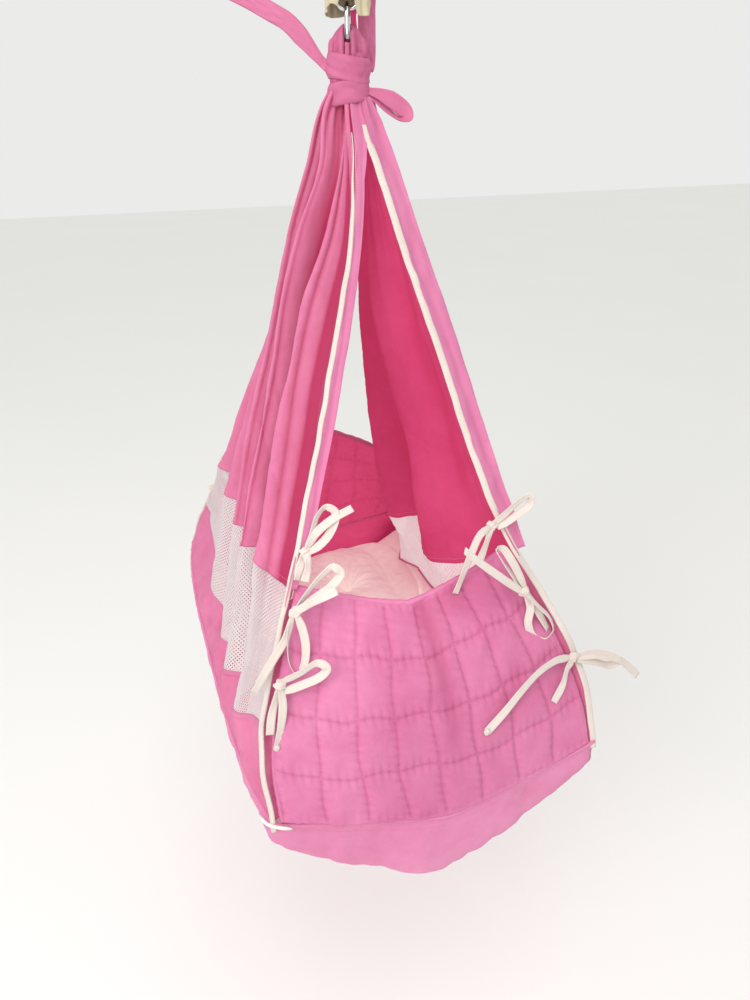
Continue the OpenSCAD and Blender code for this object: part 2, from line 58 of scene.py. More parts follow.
C18, S18 = math.cos(math.radians(18)), math.sin(math.radians(18))

# ------------------------------------------------------------------ camera
C = Vector((-0.286481, -0.944184, -0.306889))
AZ, PITCH, ROLL, FPX = 0.321247851, 0.471134769, -0.00459543, 822.034
fw = Vector((math.sin(AZ) * math.cos(PITCH), math.cos(AZ) * math.cos(PITCH), -math.sin(PITCH)))
rt = fw.cross(Vector((0, 0, 1))).normalized()
up = rt.cross(fw)
r2 = math.cos(ROLL) * rt + math.sin(ROLL) * up
u2 = -math.sin(ROLL) * rt + math.cos(ROLL) * up
cam = bpy.data.objects.new("camera", bpy.data.cameras.new("camera"))
bpy.context.scene.collection.objects.link(cam)
cam.data.sensor_width = 36
cam.data.sensor_fit = "AUTO"
cam.data.lens = FPX * 36 / 1000
cam.data.clip_start = 0.01
cam.matrix_world = Matrix(((r2.x, u2.x, -fw.x, C.x), (r2.y, u2.y, -fw.y, C.y), (r2.z, u2.z, -fw.z, C.z), (0, 0, 0, 1)))
bpy.context.scene.camera = cam


# ------------------------------------------------------------------ materials
def lin(c):
    return tuple(((v / 255) / 12.92 if v / 255 <= 0.04045 else ((v / 255 + 0.055) / 1.055) ** 2.4) for v in c) + (1.0,)


class N:
    """A small builder for node materials."""

    def __init__(self, name):
        self.m = bpy.data.materials.new(name)
        self.m.use_nodes = True
        self.t = self.m.node_tree
        self.t.nodes.clear()
        self.out = self.t.nodes.new("ShaderNodeOutputMaterial")
        self.b = self.t.nodes.new("ShaderNodeBsdfPrincipled")
        self.t.links.new(self.b.outputs[0], self.out.inputs[0])

    def new(self, kind, ins=None, **props):
        n = self.t.nodes.new("ShaderNode" + kind)
        for k, v in props.items():
            setattr(n, k, v)
        for k, v in (ins or {}).items():
            self.put(n.inputs[k], v)
        return n

    def put(self, socket, v):
        if isinstance(v, bpy.types.NodeSocket):
            self.t.links.new(v, socket)
        else:
            socket.default_value = v

    def math(self, op, a, b=0.0, clamp=False):
        n = self.new("Math", {0: a, 1: b}, operation=op)
        n.use_clamp = clamp
        return n.outputs[0]

    def mix(self, f, a, b):
        n = self.t.nodes.new("ShaderNodeMix")
        n.data_type = "RGBA"
        self.put(n.inputs[0], f)
        self.put(n.inputs[6], a)
        self.put(n.inputs[7], b)
        return n.outputs[2]

    def noise(self, vec, scale, detail=2.0, rough=0.5, dist=0.0):
        return self.new("TexNoise", {"Vector": vec, "Scale": scale, "Detail": detail, "Roughness": rough, "Distortion": dist}).outputs["Fac"]

    def ramp(self, f, lo, hi):
        n = self.new("MapRange", {"Value": f, "From Min": lo, "From Max": hi})
        n.clamp = True
        return n.outputs[0]


def cloth(name, base, dark, pitch=0.0007, sheen=0.35, bump=0.0005, rough=0.85, warm=None, rib=0.0, painted_fold_shade=None, trans=0.0, painted_glow=0.0, painted_glow_colour=None):
    """Woven cotton: thread pattern in UV metres, soft mottling, fuzz. Painted shade: the colour darkens in folds and
    hollows through the fold attribute, and the optional emission is painted light.
    """
    k = N(name)
    uv = k.new("TexCoord").outputs["UV"]
    ob = k.new("TexCoord").outputs["Object"]
    sep = k.new("SeparateXYZ", {0: uv})
    w = 2 * math.pi / pitch
    su = k.math("SINE", k.math("MULTIPLY", sep.outputs[0], w))
    sv = k.math("SINE", k.math("MULTIPLY", sep.outputs[1], w))
    weave = k.math("ADD", k.math("MULTIPLY", k.math("MULTIPLY", su, sv), 0.5), 0.5)
    slub = k.noise(ob, 900.0, 3.0, 0.65)
    big = k.noise(ob, 11.0, 4.0, 0.6, 0.4)
    mid = k.noise(ob, 70.0, 3.0, 0.6)
    f = k.math("ADD", k.math("MULTIPLY", k.ramp(big, 0.36, 0.66), 0.55), k.math("MULTIPLY", k.ramp(mid, 0.3, 0.7), 0.25))
    f = k.math("ADD", f, k.math("MULTIPLY", k.ramp(slub, 0.35, 0.65), 0.2))
    col = k.mix(f, lin(dark), lin(base))
    col = k.mix(k.math("MULTIPLY", k.math("SUBTRACT", 1.0, weave), 0.16), col, lin([c * 0.62 for c in dark]))
    if warm is not None:
        col = k.mix(k.ramp(k.noise(ob, 5.0, 3.0, 0.5), 0.45, 0.7), col, lin(warm))
    # painted shade: where the fold attribute is high the colour is mixed toward the fold-shade colour
    if painted_fold_shade is not None:
        fold = k.new("Attribute", attribute_name="fold").outputs["Fac"]
        col = k.mix(k.math("MULTIPLY", fold, 0.85, True), col, lin(painted_fold_shade))
    k.put(k.b.inputs["Base Color"], col)
    if painted_glow:
        # painted light: emission standing in for light that comes through the thin cloth and bounces about inside
        k.put(k.b.inputs["Emission Color"], k.mix(0.6 if painted_glow_colour else 0.5, col, lin(painted_glow_colour or painted_fold_shade or dark)))
        k.b.inputs["Emission Strength"].default_value = painted_glow
    if trans:
        tr = k.new("BsdfTranslucent", {"Color": k.mix(0.35, col, lin(painted_fold_shade or dark))})
        ms = k.new("MixShader", {0: trans})
        k.t.links.new(k.b.outputs[0], ms.inputs[1])
        k.t.links.new(tr.outputs[0], ms.inputs[2])
        k.t.links.new(ms.outputs[0], k.out.inputs[0])
    k.put(k.b.inputs["Roughness"], k.math("ADD", rough - 0.05, k.math("MULTIPLY", slub, 0.12)))
    k.b.inputs["Sheen Weight"].default_value = sheen
    k.b.inputs["Sheen Roughness"].default_value = 0.5
    k.b.inputs["Sheen Tint"].default_value = lin([min(255, c * 1.12 + 12) for c in base])
    k.b.inputs["Specular IOR Level"].default_value = 0.18
    h = k.math("ADD", k.math("MULTIPLY", weave, 0.6), k.math("MULTIPLY", slub, 0.6))
    if rib:
        h = k.math("ADD", h, k.math("MULTIPLY", k.math("SINE", k.math("MULTIPLY", sep.outputs[1], 2 * math.pi / rib)), 0.8))
    k.t.links.new(k.new("Bump", {"Height": h, "Strength": 0.45, "Distance": bump}).outputs[0], k.b.inputs["Normal"])
    return k.m


def metal(name, base, dark, rough, spangle=60.0, streak=0.0):
    """Metal with mottled plating and fine handling scratches."""
    k = N(name)
    ob = k.new("TexCoord").outputs["Object"]
    cells = k.new("TexVoronoi", {"Vector": ob, "Scale": spangle * 6}).outputs["Distance"]
    grime = k.noise(ob, spangle, 5.0, 0.65, 0.6)
    fine = k.noise(ob, 1400.0, 2.0, 0.6)
    f = k.math("ADD", k.math("MULTIPLY", k.ramp(grime, 0.3, 0.7), 0.7), k.math("MULTIPLY", k.ramp(cells, 0.1, 0.7), 0.3))
    k.put(k.b.inputs["Base Color"], k.mix(f, lin(base), lin(dark)))
    k.b.inputs["Metallic"].default_value = 1.0
    k.put(k.b.inputs["Roughness"], k.math("ADD", rough, k.math("MULTIPLY", k.ramp(grime, 0.35, 0.75), 0.14)))
    h = k.math("ADD", k.math("MULTIPLY", fine, 0.5), k.math("MULTIPLY", grime, 0.5))
    k.t.links.new(k.new("Bump", {"Height": h, "Strength": 0.25, "Distance": 0.0002}).outputs[0], k.b.inputs["Normal"])
    return k.m


def floor_mat():
    k = N("pale_floor")
    ob = k.new("TexCoord").outputs["Object"]
    k.put(k.b.inputs["Base Color"], k.mix(k.noise(ob, 2.0, 3.0), lin((245, 245, 242)), lin((242, 242, 239))))
    k.b.inputs["Roughness"].default_value = 0.9
    return k.m


# painted shade: the fold-shade colour given to each cloth below is laid into its folds and hollows
PINK = cloth("pink_cotton_outside", (242, 154, 194), (232, 130, 172), sheen=0.3, painted_fold_shade=(184, 38, 88), trans=0.3)
# painted shade: a darker, redder copy of the outside pink for the inner faces, standing in for the shade inside the
# cradle; its emission is painted light
PINK_SHADED_INSIDE = cloth("pink_cotton_shaded_inside", (192, 76, 118), (174, 56, 98), sheen=0.1, painted_fold_shade=(166, 26, 66), trans=0.3, painted_glow=0.55, painted_glow_colour=(246, 80, 134))
QUILT = cloth("quilted_pink_cotton", (226, 142, 180), (210, 114, 158), sheen=0.3, pitch=0.0008, painted_fold_shade=(150, 30, 76))
# painted shade: a darker, redder copy of the quilted pink for the inner faces of the flaps and base; its emission is
# painted light
QUILT_SHADED_INSIDE = cloth("quilted_pink_cotton_shaded_inside", (222, 100, 146), (206, 78, 124), sheen=0.2, pitch=0.0008, painted_fold_shade=(160, 36, 82), painted_glow=0.42)
BASEC = cloth("pink_cotton_base", (230, 150, 186), (218, 126, 166), sheen=0.3, painted_fold_shade=(196, 62, 112))
STRIP = cloth("pink_cotton_facing", (238, 152, 192), (228, 132, 176), sheen=0.3, painted_fold_shade=(206, 80, 128), trans=0.2)
WRAPC = cloth("pink_cotton_wrap", (210, 122, 158), (192, 94, 132), sheen=0.3, pitch=0.0006, painted_fold_shade=(170, 40, 88))
CREAM = cloth("cream_tape", (236, 225, 217), (222, 208, 198), pitch=0.0009, sheen=0.3, rib=0.0016)
NET = cloth("mesh_net", (242, 234, 235), (234, 224, 227), pitch=0.0005, sheen=0.1, bump=0.0001, trans=0.3, painted_glow=0.0)
# painted light: the inner net has a faint off-white emission
NET_IN = cloth("inner_mesh_net", (252, 247, 247), (244, 236, 238), pitch=0.0005, sheen=0.1, bump=0.0001, trans=0.3, painted_glow=0.27, painted_glow_colour=(236, 243, 240))
# painted light: the mattress and pillow cotton has a faint emission
PALE = cloth("pale_cotton", (250, 242, 236), (240, 222, 217), sheen=0.3, painted_fold_shade=(214, 168, 168), painted_glow=0.27, painted_glow_colour=(236, 236, 230))
BEIGE = cloth("beige_cotton", (222, 212, 184), (202, 190, 160), sheen=0.3, pitch=0.001, bump=0.0008, painted_fold_shade=(160, 146, 116))
THREAD = cloth("pink_thread", (238, 160, 196), (224, 130, 172), pitch=0.0004, sheen=0.2, bump=0.0002)
WHITE = cloth("white_piping", (250, 246, 240), (236, 230, 222), sheen=0.3)
ZINC = metal("zinc_steel", (186, 188, 190), (150, 152, 156), 0.3, 40.0)
CHROME = metal("chromed_steel", (225, 226, 228), (196, 198, 203), 0.12, 30.0)
BRASS = metal("brass", (205, 170, 96), (170, 132, 66), 0.28, 50.0)


# ------------------------------------------------------------------ shape helpers (base frame, mm: x, y, height above the seam)
def world(P):
    P = np.asarray(P, float)
    return np.stack([P[..., 0], P[..., 1], P[..., 2] - 1010.0], -1) / 1000.0


def hw(P):
    P = np.asarray(P, float)
    return np.stack([P[..., 0] * C18 + P[..., 1] * S18, -P[..., 0] * S18 + P[..., 1] * C18, P[..., 2]], -1)


def add_mesh(name, verts, faces, mats, uv=None, midx=None, body="cradle", smooth=True):
    me = bpy.data.meshes.new(name)
    verts = np.asarray(verts, float)
    if isinstance(faces, np.ndarray):
        nf, k = faces.shape
        me.vertices.add(len(verts))
        me.vertices.foreach_set("co", world(verts).astype(np.float32).ravel())
        me.loops.add(nf * k)
        me.loops.foreach_set("vertex_index", faces.astype(np.int32).ravel())
        me.polygons.add(nf)
        me.polygons.foreach_set("loop_start", np.arange(0, nf * k, k, dtype=np.int32))
        me.update(calc_edges=True)
    else:
        me.from_pydata(world(verts).tolist(), [], faces)
    me.validate()
    if uv is not None:
        lay = me.uv_layers.new(name="UVMap")
        vi = np.zeros(len(me.loops), np.int32)
        me.loops.foreach_get("vertex_index", vi)
        lay.data.foreach_set("uv", np.asarray(uv, float)[vi].astype(np.float32).ravel())
    for m in mats:
        me.materials.append(m)
    if midx is not None and len(midx) == len(me.polygons):
        me.polygons.foreach_set("material_index", np.asarray(midx, np.int32))
    me.polygons.foreach_set("use_smooth", [smooth] * len(me.polygons))
    me.update()
    o = bpy.data.objects.new(name, me)
    bpy.context.scene.collection.objects.link(o)
    if body:
        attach(o, body)
    return o


def painted_shade_attr(o, f):
    """The fold value of each point, which the cloth materials turn into painted shade."""
    if len(f) == len(o.data.vertices):
        a = o.data.attributes.new("fold", "FLOAT", "POINT")
        a.data.foreach_set("value", np.asarray(f, np.float32))


def spl(K, T, t):
    """Smooth curve through the rows of K at places T."""
    K, T, t = np.asarray(K, float), np.asarray(T, float), np.asarray(t, float)
    sh = (-1,) + (1,) * (K.ndim - 1)
    h = (T[1:] - T[:-1]).reshape(sh)
    d = (K[1:] - K[:-1]) / h
    m = np.empty_like(K)
    m[0], m[-1] = d[0], d[-1]
    m[1:-1] = (h[1:] * d[:-1] + h[:-1] * d[1:]) / (h[1:] + h[:-1])
    i = np.clip(np.searchsorted(T, t, side="right") - 1, 0, len(T) - 2)
    s = ((t - T[i]) / (T[i + 1] - T[i])).reshape(sh)
    hh = h[i]
    return ((2 * s**3 - 3 * s**2 + 1) * K[i] + (s**3 - 2 * s**2 + s) * hh * m[i] + (-2 * s**3 + 3 * s**2) * K[i + 1] + (s**3 - s**2) * hh * m[i + 1])


def curve(P, n):
    """n points evenly along a smooth curve through P."""
    P = np.asarray(P, float)
    T = np.concatenate([[0], np.cumsum(np.sqrt(np.linalg.norm(np.diff(P, axis=0), axis=1)) + 1e-6)])
    q = spl(P, T, np.linspace(0, T[-1], 24 * len(P)))
    L = np.concatenate([[0], np.cumsum(np.linalg.norm(np.diff(q, axis=0), axis=1))])
    s = np.linspace(0, L[-1], n)
    return np.stack([np.interp(s, L, q[:, k]) for k in range(3)], -1)


def wav(P, L, seed, n=5):
    """Smooth random waves of about L mm."""
    g = np.random.default_rng(seed)
    out = 0
    for _ in range(n):
        d = g.normal(size=3)
        d /= np.linalg.norm(d)
        e = g.normal(size=3)
        f = 2 * math.pi / (L * g.uniform(0.7, 1.5))
        out = out + np.sin(P @ d * f + g.uniform(0, 6.28) + 1.1 * np.sin(P @ e * f * 0.3))
    return out / math.sqrt(n)


def crease(P, L, seed):
    """Ridged waves: thin soft creases."""
    return (1 - np.abs(np.tanh(1.6 * wav(P, L, seed)))) ** 2


def normals(G):
    N_ = np.cross(np.gradient(G, axis=1), np.gradient(G, axis=0))
    return N_ / (np.linalg.norm(N_, axis=-1, keepdims=True) + 1e-9)


def blur(A, k):
    for _ in range(k):
        A = A.copy()
        A[1:-1] = (A[:-2] + 2 * A[1:-1] + A[2:]) / 4
        A[:, 1:-1] = (A[:, :-2] + 2 * A[:, 1:-1] + A[:, 2:]) / 4
    return A


def grid_uv(G):
    du = np.linalg.norm(np.diff(G, axis=1), axis=-1)
    dv = np.linalg.norm(np.diff(G, axis=0), axis=-1)
    row = np.concatenate([[0], np.cumsum(du.mean(0))])
    col = np.concatenate([[0], np.cumsum(dv.mean(1))])
    return np.stack(np.broadcast_arrays(row[None, :], col[:, None]), -1) / 1000


def sheet_mesh(name, G, t, mats, body="cradle", flip=False, off=0.0, t_in=None, fold=None):
    """A two-skin cloth from a grid of points. mats: outer, inner. fold: painted shade masks for the outer and inner
    skins; without them the hollows of each skin are painted as shade.
    """
    n, m = G.shape[:2]
    Nn = normals(G) * (-1 if flip else 1)
    Nn = blur(Nn, 1)
    ti = t / 2 if t_in is None else t_in
    A = G + Nn * (t / 2 + off)
    B = G - Nn * (np.asarray(ti)[..., None] if np.ndim(ti) else ti)
    V = np.concatenate([A.reshape(-1, 3), B.reshape(-1, 3)])
    uv = grid_uv(G).reshape(-1, 2)
    I = np.arange(n * m).reshape(n, m)
    q = np.stack([I[:-1, :-1], I[:-1, 1:], I[1:, 1:], I[1:, :-1]], -1).reshape(-1, 4)
    o = n * m
    loop = np.concatenate([I[0, :], I[1:, -1], I[-1, -2::-1], I[-2:0:-1, 0]])
    nx = np.roll(loop, -1)
    rim = np.stack([nx, loop, loop + o, nx + o], -1)
    F = np.concatenate([q, q[:, ::-1] + o, rim])
    if flip:
        F = F[:, ::-1]
    mi = np.concatenate([np.zeros(len(q)), np.ones(len(q)), np.zeros(len(rim))])
    o_ = add_mesh(name, V, F, mats if len(mats) > 1 else mats * 2, np.concatenate([uv, uv]), mi, body)
    # painted shade: the fold masks darken each skin's colour; without given masks the hollows of each skin are measured
    # below and darken it
    if fold is not None:
        painted_shade_attr(o_, np.concatenate([np.clip(fold[0], 0, 1).ravel(), np.clip(fold[1], 0, 1).ravel()]))
        return o_
    f = blur(((blur(G, int(120 * RES * RES)) - blur(G, 6)) * Nn).sum(-1) / 7.0, 12)
    w_ = np.clip(np.minimum.outer(np.minimum(np.arange(n), n - 1 - np.arange(n)), np.minimum(np.arange(m), m - 1 - np.arange(m))) / 12.0, 0, 1)
    f = f * w_
    painted_shade_attr(o_, np.concatenate([np.clip(f, 0, 1).ravel(), np.clip(-f, 0, 1).ravel()]))
    return o_


def sweep(name, path, prof, mats, A=None, scale=None, body="cradle", closed=False, build=True, roll=None):
    """A closed outline prof (k,2) carried along path; A is the direction of the outline's first axis."""
    path = np.asarray(path, float)
    n = len(path)
    if closed:
        T = np.roll(path, -1, 0) - np.roll(path, 1, 0)
    else:
        T = np.gradient(path, axis=0)
    T /= np.linalg.norm(T, axis=1, keepdims=True) + 1e-12
    if A is None:
        A = np.array([0.3, 0.2, 1.0])
        a = A - T[0] * (A @ T[0])
        a /= np.linalg.norm(a)
        L = [a]
        for i in range(1, n):
            a = a - T[i] * (a @ T[i])
            a /= np.linalg.norm(a) + 1e-12
            L.append(a)
        A = np.array(L)
    else:
        A = np.broadcast_to(np.asarray(A, float), path.shape).copy()
        A -= T * (A * T).sum(1, keepdims=True)
        A /= np.linalg.norm(A, axis=1, keepdims=True) + 1e-12
    B = np.cross(T, A)
    if roll is not None:
        r = np.radians(np.asarray(roll, float))[:, None]
        A, B = A * np.cos(r) + B * np.sin(r), -A * np.sin(r) + B * np.cos(r)
    prof = np.asarray(prof, float)
    k = prof.shape[-2]
    P = np.broadcast_to(prof, (n, k, 2)).copy() if prof.ndim == 2 else prof
    if scale is not None:
        P = P * np.asarray(scale, float).reshape(n, 1, -1)
    V = path[:, None] + P[..., :1] * A[:, None] + P[..., 1:] * B[:, None]
    I = np.arange(n * k).reshape(n, k)
    J = np.roll(I, -1, 1)
    if closed:
        F = np.stack([I, J, np.roll(J, -1, 0), np.roll(I, -1, 0)], -1).reshape(-1, 4)
    else:
        F = np.stack([I[:-1], J[:-1], J[1:], I[1:]], -1).reshape(-1, 4)
    L = np.concatenate([[0], np.cumsum(np.linalg.norm(np.diff(path, axis=0), axis=1))])
    pl = np.concatenate([[0], np.cumsum(np.linalg.norm(np.diff(P[0], axis=0), axis=1))])
    uv = np.stack(np.broadcast_arrays(pl[None, :], L[:, None]), -1).reshape(-1, 2) / 1000
    V, F = V.reshape(-1, 3), [tuple(f) for f in F]
    if not closed:
        F = F + [tuple(I[0, ::-1]), tuple(I[-1])]
    if not build:
        return V, F, uv
    return add_mesh(name, V, F, mats, uv, None, body)


def joined(name, parts, mats, body="cradle", midx=None):
    V, F, U, o = [], [], [], 0
    M = []
    for j, (v, f, u) in enumerate(parts):
        V.append(v)
        U.append(u)
        F += [tuple(int(q) + o for q in t) for t in f]
        M += [0 if midx is None else midx[j]] * len(f)
        o += len(v)
    return add_mesh(name, np.concatenate(V), F, mats, np.concatenate(U), M, body)


def flat_prof(w, t, k=5, cup=0.0):
    """Outline of a tape w wide and t thick with soft edges."""
    a = np.linspace(-1, 1, k)
    top = np.stack([a * (w / 2 - t * 0.4), np.full(k, t / 2) + cup * (a**2 - 0.4)], -1)
    bot = np.stack([a[::-1] * (w / 2 - t * 0.4), np.full(k, -t / 2) + cup * (a**2 - 0.4)], -1)
    return np.concatenate([top, [[w / 2, cup * 0.6]], bot, [[-w / 2, cup * 0.6]]])


def round_prof(r, k=12, rb=None):
    a = np.arange(k) * 2 * math.pi / k
    return np.stack([r * np.cos(a), (rb or r) * np.sin(a)], -1)


def stitches(name, lines, mat, pitch=3.4, length=2.2, r=0.32, body="cradle", across=0.0):
    """Small thread stitches along lines of points; across turns them to lie across the line."""
    V, F, U, o = [], [], [], 0
    for P, Nn in lines:
        P = np.asarray(P, float)
        L = np.concatenate([[0], np.cumsum(np.linalg.norm(np.diff(P, axis=0), axis=1))])
        if L[-1] < pitch:
            continue
        s = np.arange(pitch / 2, L[-1] - pitch / 2, pitch)
        C_ = np.stack([np.interp(s, L, P[:, k]) for k in range(3)], -1)
        Tn = np.stack([np.interp(s + 0.5, L, P[:, k]) for k in range(3)], -1) - np.stack([np.interp(s - 0.5, L, P[:, k]) for k in range(3)], -1)
        Tn /= np.linalg.norm(Tn, axis=1, keepdims=True) + 1e-9
        Nq = np.stack([np.interp(s, L, np.broadcast_to(Nn, P.shape)[:, k]) for k in range(3)], -1)
        Nq -= Tn * (Nq * Tn).sum(1, keepdims=True)
        Nq /= np.linalg.norm(Nq, axis=1, keepdims=True) + 1e-9
        S = np.cross(Nq, Tn)
        if across:
            Tn, S = Tn * math.cos(across) + S * math.sin(across), S * math.cos(across) - Tn * math.sin(across)
        for a, w in ((-0.5, 0.15), (-0.33, 0.85), (0.0, 1.0), (0.33, 0.85), (0.5, 0.15)):
            for b in range(6):
                q = b * math.pi / 3
                V.append(C_ + Tn * a * length + S * (w * r * math.cos(q)) + Nq * (w * r * math.sin(q) + (1 - w) * -0.3))
        n = len(C_)
        ids = o + np.arange(30)[:, None] * n + np.arange(n)[None, :]
        for a in range(4):
            for b in range(6):
                c = (b + 1) % 6
                F.append(np.stack([ids[a * 6 + b], ids[a * 6 + c], ids[(a + 1) * 6 + c], ids[(a + 1) * 6 + b]], -1))
        o += 30 * n
    if not V:
        return None
    V = np.concatenate(V)
    return add_mesh(name, V, np.concatenate(F), [mat], V[:, :2] / 1000, None, body)


def tb(tab, h):
    a = np.array(tab, float)
    return np.interp(h, a[:, 0], a[:, 1])


def tbs(tab, h):
    a = np.array(tab, float)
    return spl(a[:, 1], a[:, 0], np.clip(np.asarray(h, float), a[0, 0], a[-1, 0]))


EDGE_W = [[-10, 194], [0, 194], [60, 196], [90, 190], [130, 175], [170, 156], [210, 136], [260, 115], [320, 95], [380, 76], [440, 59], [500, 42], [560, 26], [620, 14], [650, 9], [681, 7], [700, 6]]
EDGE_L = [[-10, 323], [0, 320], [30, 305], [60, 288], [90, 269], [130, 246], [170, 220], [210, 194], [260, 173], [320, 158], [380, 146], [440, 131], [500, 112], [560, 89], [620, 58], [660, 32], [681, 20], [700, 18]]
HEADW = [[0, 194], [60, 182], [90, 173], [130, 160], [208, 137], [260, 115], [320, 95], [380, 76], [440, 59], [500, 42], [560, 26], [620, 14], [650, 9], [681, 7], [700, 6]]


def edge(sd, en, h):
    h = np.asarray(h, float)
    w = tbs(HEADW if (sd < 0 and en > 0) else EDGE_W, h)
    if sd < 0 and en < 0:
        w = w + 4.5 * np.exp(-(((h - 390) / 120) ** 2))
    return np.stack([sd * w, en * tbs(EDGE_L, h), h], -1)


# ------------------------------------------------------------------ upper side panels
CR = [0, 0.12, 0.25, 0.4, 0.55, 0.7, 0.85, 1.0]


def col(x, y, h):
    return np.stack([np.array(x, float), np.array(y, float), np.array(h, float)], -1)


D = np.array([3, 8, 14, 20, 24, 26, 27, 28.0])
EX = np.array([[1.0, 0, 0]])
lB = col([-7, -14, -27, -47, -68, -91, -115, -148], [-20, -57, -90, -118, -139, -155, -173, -210], [681, 621, 557, 483, 408, 334, 259, 185])
hsB = lB[:, 2]
lB = edge(-1, -1, hsB)
lV1 = col([-7, -17, -28, -52, -76, -92, -112, -137], [-16, -44, -70, -91, -107, -120, -134, -162], [681, 622, 558, 485, 411, 338, 264, 190])
lR1 = col([-3, -19, -41, -75, -98, -119, -137, -157], [-10, -28, -45, -58, -69, -77, -86, -102], [681, 623, 560, 487, 414, 342, 269, 196])
lR2 = col([-25, -38, -68, -93, -110, -129, -149, -169], [-6, -16, -25, -32, -38, -42, -47, -56], [681, 622, 559, 486, 413, 339, 266, 193])
lR3 = col([-28, -48, -71, -90, -110, -131, -149, -166], [1, 2, 4, 5, 6, 7, 8, 9], [681, 622, 558, 484, 410, 337, 263, 189])
lR4 = col([-20, -30, -42, -58, -80, -109, -135, -160], [14, 41, 64, 84, 99, 111, 124, 147], [681, 624, 563, 492, 421, 350, 279, 208])
lV2 = (lR1 + lR2) / 2 + D[:, None] * EX
lV3 = (lR2 + lR3) / 2 + D[:, None] * EX
lR3b = lR3 * 0.45 + lR4 * 0.55 + EX * -np.array([0, 1, 2, 2, 2, 1, 0, 0])[:, None]
lR3b[-1] = (-163, 85, 196)
lV4 = (lR3 + lR3b) / 2 + 0.75 * D[:, None] * EX
lV4[-1] = (-138, 45, 192)
lV5 = (lR3b + lR4) / 2 + 0.7 * D[:, None] * EX
lV5[-1] = (-138, 115, 202)
lH = edge(-1, 1, [681, 624, 562, 490, 418, 345, 272, 203])
lV6 = (lR4 + lH) / 2 + 0.5 * D[:, None] * EX
lV6[-1] = (-150, 175, 206)
CAMMM = np.array([-286.5, -944.2, 703.1])
for V_, kk in ((lV1, 0.9), (lV2, 0.45), (lV3, 0.4), (lV4, 0.3)):
    ray = V_ - CAMMM
    ray /= np.linalg.norm(ray, axis=1, keepdims=True)
    V_ += ray * (D * kk)[:, None]
LCOLS = [lB, lV1, lR1, lV2, lR2, lV3, lR3, lV4, lR3b, lV5, lR4, lV6, lH]
LU = [0, 0.7, 1.6, 2.2, 2.9, 3.5, 4.2, 4.9, 5.6, 6.3, 7.0, 7.7, 8.6]

rB = edge(1, -1, [681, 621, 557, 483, 408, 334, 259, 188])
rRA = col([16, 12, 10, 13, 33, 54, 63, 81], [-7, -20, -31, -41, -48, -54, -60, -71], [681, 615, 544, 461, 379, 297, 214, 132])
rVA = col([24, 24, 26, 36, 58, 80, 95, 112], [0, -2, -2, 0, 6, 14, 22, 32], [681, 615, 543, 461, 379, 296, 215, 138])
rRB = col([21, 25, 22, 23, 30, 39, 52, 72], [7, 20, 32, 42, 49, 55, 61, 73], [681, 615, 543, 461, 378, 295, 213, 130])
rM1 = (rB + rRA) / 2 + np.array([3, 6, 10, 14, 16, 18, 20, 18.0])[:, None] * EX
rRAb = rRA * 0.7 + rVA * 0.3 + np.array([2, 3, 5, 6, 7, 8, 7, 3.0])[:, None] * EX
rRAb[-1] = (84, -43, 129)
rC5 = rRB * 0.6 + rVA * 0.4 + np.array([2, 3, 4, 5, 6, 6, 4, 3.0])[:, None] * EX
rC5[-1] = (100, 50, 133)
rH = edge(1, 1, [681, 621, 557, 483, 408, 334, 259, 190])
rBk = rRB * 0.75 + rH * 0.25 + np.array([3, 6, 10, 14, 16, 17, 16, 6.0])[:, None] * EX
rBk[-1] = (95, 115, 140)
rVl = rRB * 0.35 + rH * 0.65 + np.array([2, 4, 6, 8, 10, 11, 11, 10.0])[:, None] * EX
rVl[-1] = (125, 150, 160)
RCOLS = [rB, rM1, rRA, rRAb, rVA, rC5, rRB, rBk, rVl, rH]
RU = [0, 1.5, 3.0, 3.5, 4.3, 5.0, 5.6, 6.1, 7.0, 8.2]


